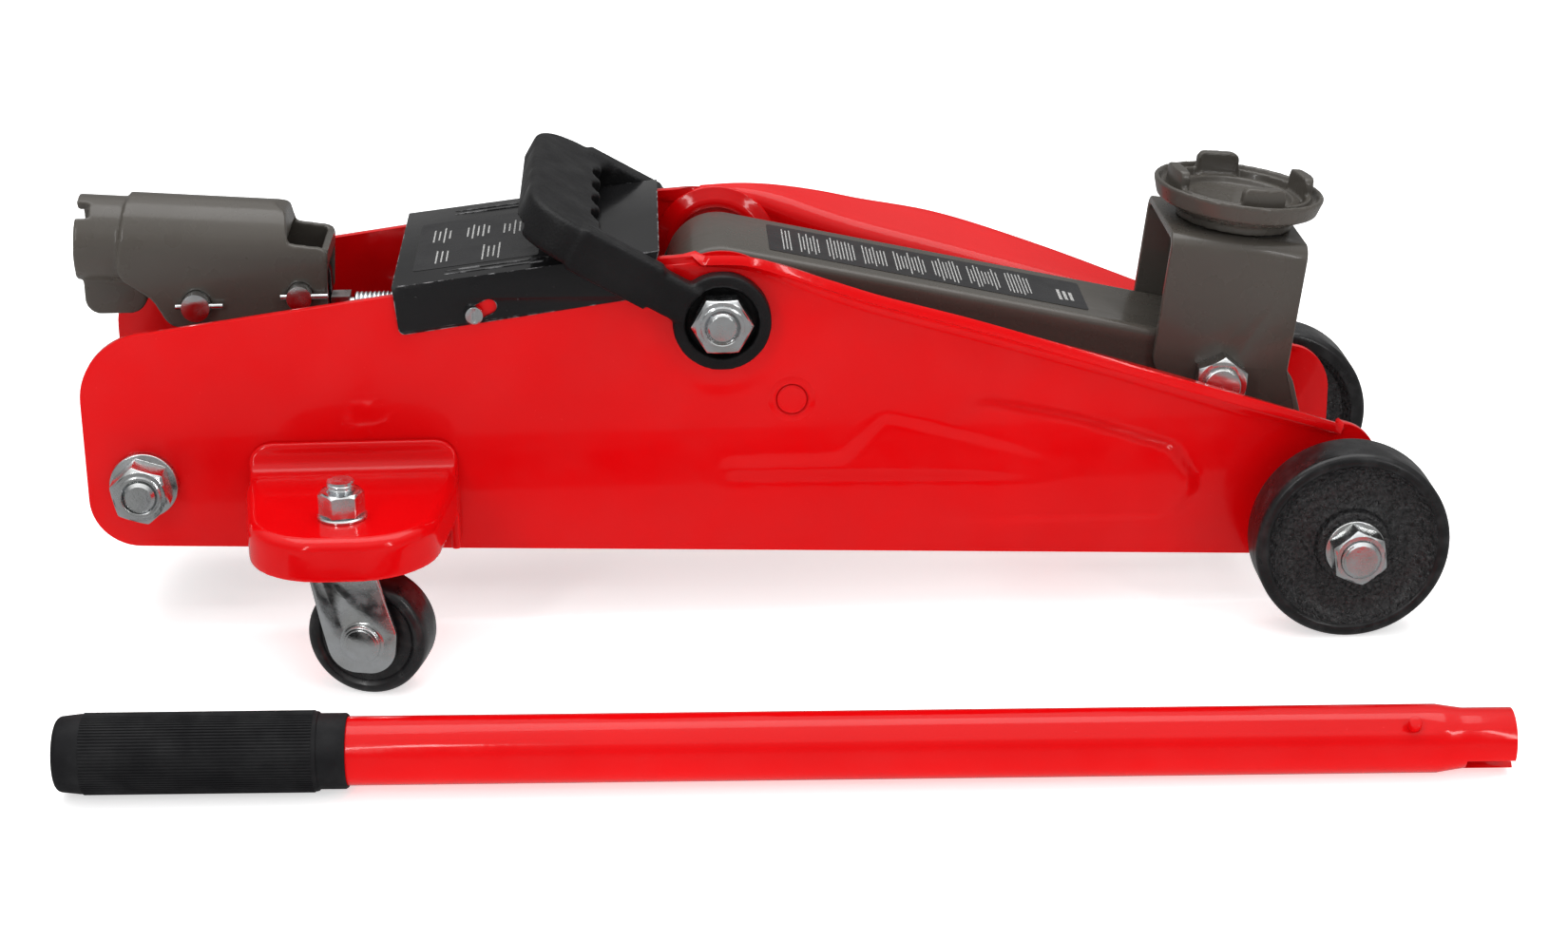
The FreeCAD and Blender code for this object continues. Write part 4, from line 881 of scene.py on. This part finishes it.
def nuts():
    """Every nut that shows, three groups by the nodes that they stand for."""
    plate = pair_of_nuts(0, MAIN_Z, PLATE_OUTER + 4.2, flats=17.0, height=7.5, hole_r=5.0, turn=30,
                         collar=0.7)
    plate += pair_of_nuts(*REAR_BOLT, PLATE_OUTER + 2.5, flats=17.0, height=9.5, hole_r=5.0, turn=12,
                          collar=0.6)
    mount(join("plate_nuts_finish", plate), "frame", "zinc_plate", "plate_nuts")
    axle = pair_of_nuts(AXLE_X, WHEEL_R, 70.3 + 1.8, flats=16.0, height=8.0, hole_r=6.0, turn=8)
    mount(join("front_axle_nuts_finish", axle), "frame", "zinc_plate", "front_axle_nuts")
    caster = [nut(at(CASTER_X, side * CASTER_Y, CASTER_SHELF), Z_AXIS, flats=12.5, height=8.7, hole_r=4.0,
                  turn=10, skirt=7.6) for side in (-1, 1)]
    mount(join("caster_nuts_finish", caster), "frame", "zinc_plate", "caster_nuts")


nuts()


# ---- springs -------------------------------------------------------------------------------------
RETURN_START, RETURN_LENGTH, RETURN_Y = (-87, 0, 61.5), 34, 29
PUMP_START, PUMP_LENGTH = (-163.5, 0, 75.4), 13.2
RELEASE_START, RELEASE_LENGTH = (-118.4, 0, 96.5), 12.8

coils = [spring("coil", 17, 3.7, RETURN_LENGTH, 0.8, (RETURN_START[0], y, RETURN_START[2]), X_AXIS, SPRING)
         for y in (-RETURN_Y, RETURN_Y)]
stretch = join("return_springs_finish", coils)
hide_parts("return_springs")
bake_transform(stretch)
push = spring("pump_spring_finish", 5, 8.2, PUMP_LENGTH, 1.0, PUMP_START, Z_AXIS, SPRING)
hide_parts("pump_spring")
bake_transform(push)
mount(spring("release_spring_finish", 9, 3.6, RELEASE_LENGTH, 0.7, RELEASE_START, X_AXIS, ZINC), "frame",
      "zinc_plate", "release_spring")


# ---- threads on the bolt ends --------------------------------------------------------------------
def thread(name, radius, pitch, start, direction, length, body):
    """A fine helix wound on the bare end of a bolt."""
    piece = spring(name, length / pitch, radius - 0.18, length, 0.42, start, direction, ZINC)
    return mount(piece, body, "zinc_plate")


for side, word in ((-1, "right"), (1, "left")):
    outward = Vector((0, side, 0))
    thread("caster_thread_" + word, 4.0, 1.25, (CASTER_X, side * CASTER_Y, 64.0), Z_AXIS, 3.2, "frame")
    thread("rear_thread_" + word, 6.0, 1.75, (REAR_BOLT[0], side * 52.3, REAR_BOLT[1]), outward, 1.0, "frame")
    thread("axle_thread_" + word, 6.0, 1.5, (AXLE_X, side * 79.9, WHEEL_R), outward, 1.0, "frame")


# ---- labels, with abstract print only ------------------------------------------------------------
def tilted_patch(name, length, width, matrix, thickness=0.12, corner=1.0):
    """A thin rounded film lying on a surface."""
    outline = [(-length / 2, -width / 2), (length / 2, -width / 2), (length / 2, width / 2),
               (-length / 2, width / 2)]
    bm = bmesh.new()
    points = []
    for (x, y), start in zip(outline, (180, 270, 0, 90)):
        cx, cy = x - math.copysign(corner, x), y - math.copysign(corner, y)
        points += arc(cx, cy, corner, start, start + 90, 5)
    base = bm.faces.new([bm.verts.new(Vector((x, y, 0)) * MM) for x, y in points])
    pulled = bmesh.ops.extrude_face_region(bm, geom=[base])
    bmesh.ops.translate(bm, verts=[v for v in pulled["geom"] if isinstance(v, bmesh.types.BMVert)],
                        vec=Vector((0, 0, thickness * MM)))
    bmesh.ops.recalc_face_normals(bm, faces=bm.faces)
    film = piece_from_bmesh(name, bm, [FILM])
    film.data.transform(matrix)
    return film


def print_rows(name, matrix, x, y, rows, pitch, short, long, weight, seed):
    """A block of abstract bars on a label; all sizes in millimetres."""
    shift = Matrix.Translation(Vector((x, y, 0.15)) * MM)
    values = {"Rows": rows, "Pitch": pitch * MM, "Shortest": short * MM, "Longest": long * MM,
              "Weight": weight * MM, "Seed": seed, "Finish": PRINT}
    return grow(name, BARS, values, matrix @ shift, 30)


def arm_label():
    """Long black label on the lift arm's top face."""
    root_r, tip_r, lift, along = 16.8, 11.5, 16.82, 66.0
    reach = math.hypot(BRACKET_BOLT[0], MAIN_Z - BRACKET_BOLT[1])
    axis = math.atan2(BRACKET_BOLT[1] - MAIN_Z, BRACKET_BOLT[0])
    slope = axis - math.asin((root_r - tip_r) / reach)
    normal = slope + math.pi / 2
    start = Vector((lift * math.cos(normal), 0, MAIN_Z + lift * math.sin(normal)))
    middle = start + Vector((math.cos(slope), 0, math.sin(slope))) * along
    matrix = Matrix.Translation(at(*middle)) @ Matrix.Rotation(-slope, 4, "Y")
    parts = [tilted_patch("film", 106, 29, matrix)]
    column, pitch, gap = -48.0, 1.2, 2.2
    for seed, rows in enumerate((3, 6, 8, 7, 9, 8, 9, 7)):
        parts.append(print_rows("rows", matrix, column, 0, rows, pitch, 13, 24, 0.4, seed + 3))
        column += rows * pitch + gap
    parts.append(print_rows("rows", matrix, 44.5, -3, 3, 2.0, 8, 14, 1.1, 31))
    return mount(join("arm_label", parts), "lift_arm", "black_enamel")


def cover_label():
    """Small label on the cover's rear half."""
    matrix = Matrix.Translation(at(-77, -2, 118.08)) @ Matrix.Rotation(-COVER_SLOPE, 4, "Y")
    parts = [tilted_patch("film", 40, 52, matrix, 0.1)]
    for seed, (x, y, rows) in enumerate(((-15, 10, 4), (-4, 10, 5), (8, 9, 6), (-13, -14, 3), (2, -15, 4))):
        parts.append(print_rows("rows", matrix, x, y, rows, 1.7, 8, 17, 0.5, seed + 41))
    return mount(join("cover_label", parts), "frame", "black_enamel")


arm_label()
cover_label()


# ---- pressed ribs on the cover -------------------------------------------------------------------
def cover_ribs():
    """Four long low ribs, two along each edge of the cover."""
    half_length, half_width, rise = 19, 0.8, 0.55
    parts = []
    for y in (-35.5, -32.0, 32.0, 35.5):
        matrix = Matrix.Translation(at(-68, y, 119.15)) @ Matrix.Rotation(-COVER_SLOPE, 4, "Y")
        stretch = Matrix.Diagonal((half_length * MM, half_width * MM, rise * MM, 1))
        bm = bmesh.new()
        bmesh.ops.create_uvsphere(bm, u_segments=24, v_segments=12, radius=1, matrix=matrix @ stretch)
        rib = piece_from_bmesh("rib", bm, [BLACK])
        parts.append(settle(rib, 60))
    whole = join("cover_ribs", parts)
    whole.data.shade_smooth()
    return mount(whole, "frame", "black_enamel")


cover_ribs()


# ---- loose operating bar -------------------------------------------------------------------------
BAR_START, BAR_YAW, BAR_LENGTH = Vector((-196.0, -155.0)), math.radians(-1.4), 420
GRIP_R, TUBE_R, GRIP_LENGTH, TIP_REST = 12.0, 10.0, 76, 22


def bar_frame():
    """Matrix whose +Z runs down the bar from the closed end of its grip, as it rests on grip and tip."""
    drop = math.atan2(GRIP_R - TUBE_R, BAR_LENGTH - TIP_REST - GRIP_LENGTH)
    height = GRIP_R / math.cos(drop) + GRIP_LENGTH * math.sin(drop)
    direction = Vector((math.cos(BAR_YAW) * math.cos(drop), math.sin(BAR_YAW) * math.cos(drop),
                        -math.sin(drop)))
    across = Vector((-math.sin(BAR_YAW), math.cos(BAR_YAW), 0))
    turn = Matrix((across.cross(direction) * -1, across, direction)).transposed()
    if turn.determinant() < 0:
        turn = Matrix((across.cross(direction), across, direction)).transposed()
    return Matrix.Translation(at(*BAR_START, height)) @ turn.to_4x4()


def on_bar(name, profile, materials, sides=72):
    """A turned shape on the bar's own line."""
    piece = lathe(name, profile, Vector((0, 0, 0)), Z_AXIS, materials, sides)
    settle(piece, 40)
    piece.data.transform(bar_frame())
    return piece


def bar_grip():
    """Soft sleeve with its fine lengthwise ribs and plain collar."""
    sleeve = [(0.0, 0.4), (8.6, 0.4)] + arc(8.8, 2.6, 2.2, -90, 0, 6) + [(11.55, 7.5), (11.55, 75.2)]
    sleeve += arc(11.0, 75.4, 0.5, 0, 90, 3)
    sleeve += [(10.95, 76.4), (10.95, 83.4), (10.6, 84.0), (10.03, 84.0), (10.03, 3.0), (0.0, 3.0)]
    body = on_bar("sleeve", sleeve, [RUBBER])
    middle = bar_frame() @ Matrix.Translation(Vector((0, 0, 41.5)) * MM)
    ribs = grow("ribs", RIBS, {"Count": 76, "Ring radius": 11.52 * MM, "Rib radius": 0.36 * MM,
                               "Length": 66 * MM, "Finish": RUBBER}, middle, 60)
    whole = join("bar_grip_finish", [body, ribs])
    whole.data.shade_smooth()
    whole.data.set_sharp_from_angle(angle=math.radians(45))
    return mount(whole, "operating_bar", "grip_rubber", "bar_grip")


bar_grip()
bevelled("bar_tube", 0.3)

# ---- every CAD node that still shows gets its finish ---------------------------------------------
for node, cad in frame["nodes"].items():
    finish = SLOT_FINISH[NODE_SLOT[node]]
    cad.data.materials.clear()
    cad.data.materials.append(finish)


# ---- floor, light and camera ---------------------------------------------------------------------
def stage_floor():
    """Plain pale floor, a touch self-lit so that its shadows stay soft."""
    bm = bmesh.new()
    bmesh.ops.create_grid(bm, x_segments=1, y_segments=1, size=30)
    f = Finish("pale_floor", (0.93, 0.93, 0.93), 0.9, specular=0.1)
    f.set("Emission Color", (1, 1, 1, 1))
    f.set("Emission Strength", 0.58)
    floor = piece_from_bmesh("floor", bm, [f.material])
    floor.data.transform(Matrix.Translation((0, 0, -0.0002)))
    floor.visible_glossy = False


def soft_light(name, place, size, power, target):
    """A rectangular light turned to its target, in metres and watts."""
    lamp = bpy.data.lights.new(name, "AREA")
    lamp.shape = "RECTANGLE"
    lamp.size, lamp.size_y = size
    lamp.energy = power
    made = bpy.data.objects.new(name, lamp)
    made.location = place
    made.rotation_euler = (Vector(target) - Vector(place)).to_track_quat("-Z", "Y").to_euler()
    bpy.context.scene.collection.objects.link(made)


def studio():
    """White to look at, bright from above and dimmer below, where the metal mirrors the room."""
    world = bpy.data.worlds.new("studio")
    world.use_nodes = True
    tree = world.node_tree
    white, room = tree.nodes["Background"], tree.nodes.new("ShaderNodeBackground")
    white.inputs[0].default_value = (1, 1, 1, 1)
    white.inputs[1].default_value = 1.0
    place, split = tree.nodes.new("ShaderNodeTexCoord"), tree.nodes.new("ShaderNodeSeparateXYZ")
    ramp, ray = tree.nodes.new("ShaderNodeValToRGB"), tree.nodes.new("ShaderNodeLightPath")
    mix, out = tree.nodes.new("ShaderNodeMixShader"), tree.nodes["World Output"]
    for position, level in ((0.0, 0.35), (0.05, 0.30), (0.30, 0.22), (0.50, 0.38), (0.75, 1.0)):
        stop = ramp.color_ramp.elements[0] if position == 0.0 else ramp.color_ramp.elements.new(position)
        stop.color = (level, level, level, 1)
    ramp.color_ramp.elements[-1].color = (1.25, 1.25, 1.25, 1)
    wire_up(tree, (place.outputs["Generated"], split.inputs[0]), (split.outputs["Z"], ramp.inputs[0]),
            (ramp.outputs[0], room.inputs[0]), (ray.outputs["Is Camera Ray"], mix.inputs[0]),
            (room.outputs[0], mix.inputs[1]), (white.outputs[0], mix.inputs[2]),
            (mix.outputs[0], out.inputs[0]))
    bpy.context.scene.world = world
    soft_light("overhead", (0.0, 0.1, 1.2), (1.5, 0.8), 9, (0, 0, 0.05))
    soft_light("front_left", (-0.75, -1.25, 0.75), (0.10, 0.8), 3.8, (0, 0, 0.06))
    soft_light("front_right", (0.95, -1.1, 0.7), (0.08, 0.8), 3.0, (0.05, 0, 0.06))
    bpy.context.scene.view_settings.view_transform = "Standard"


CAMERA_PLACE = (-20.8, -963.9, 402.7)


def camera():
    """A level view from a little above the near side, through a long lens."""
    yaw, pitch, roll = math.radians(-2.48), math.radians(20.86), math.radians(0.52)
    forward = Vector((-math.sin(yaw) * math.cos(pitch), math.cos(yaw) * math.cos(pitch), -math.sin(pitch)))
    right = Vector((math.cos(yaw), math.sin(yaw), 0))
    up = right.cross(forward)
    right, up = (math.cos(roll) * right - math.sin(roll) * up, math.sin(roll) * right + math.cos(roll) * up)
    lens = bpy.data.cameras.new("camera")
    lens.sensor_width, lens.lens = 36, 70.9
    lens.clip_start, lens.clip_end = 0.01, 100
    made = bpy.data.objects.new("camera", lens)
    turn = Matrix((right, up, -forward)).transposed().to_4x4()
    made.matrix_world = Matrix.Translation(at(*CAMERA_PLACE)) @ turn
    bpy.context.scene.collection.objects.link(made)
    bpy.context.scene.camera = made


stage_floor()
studio()
camera()
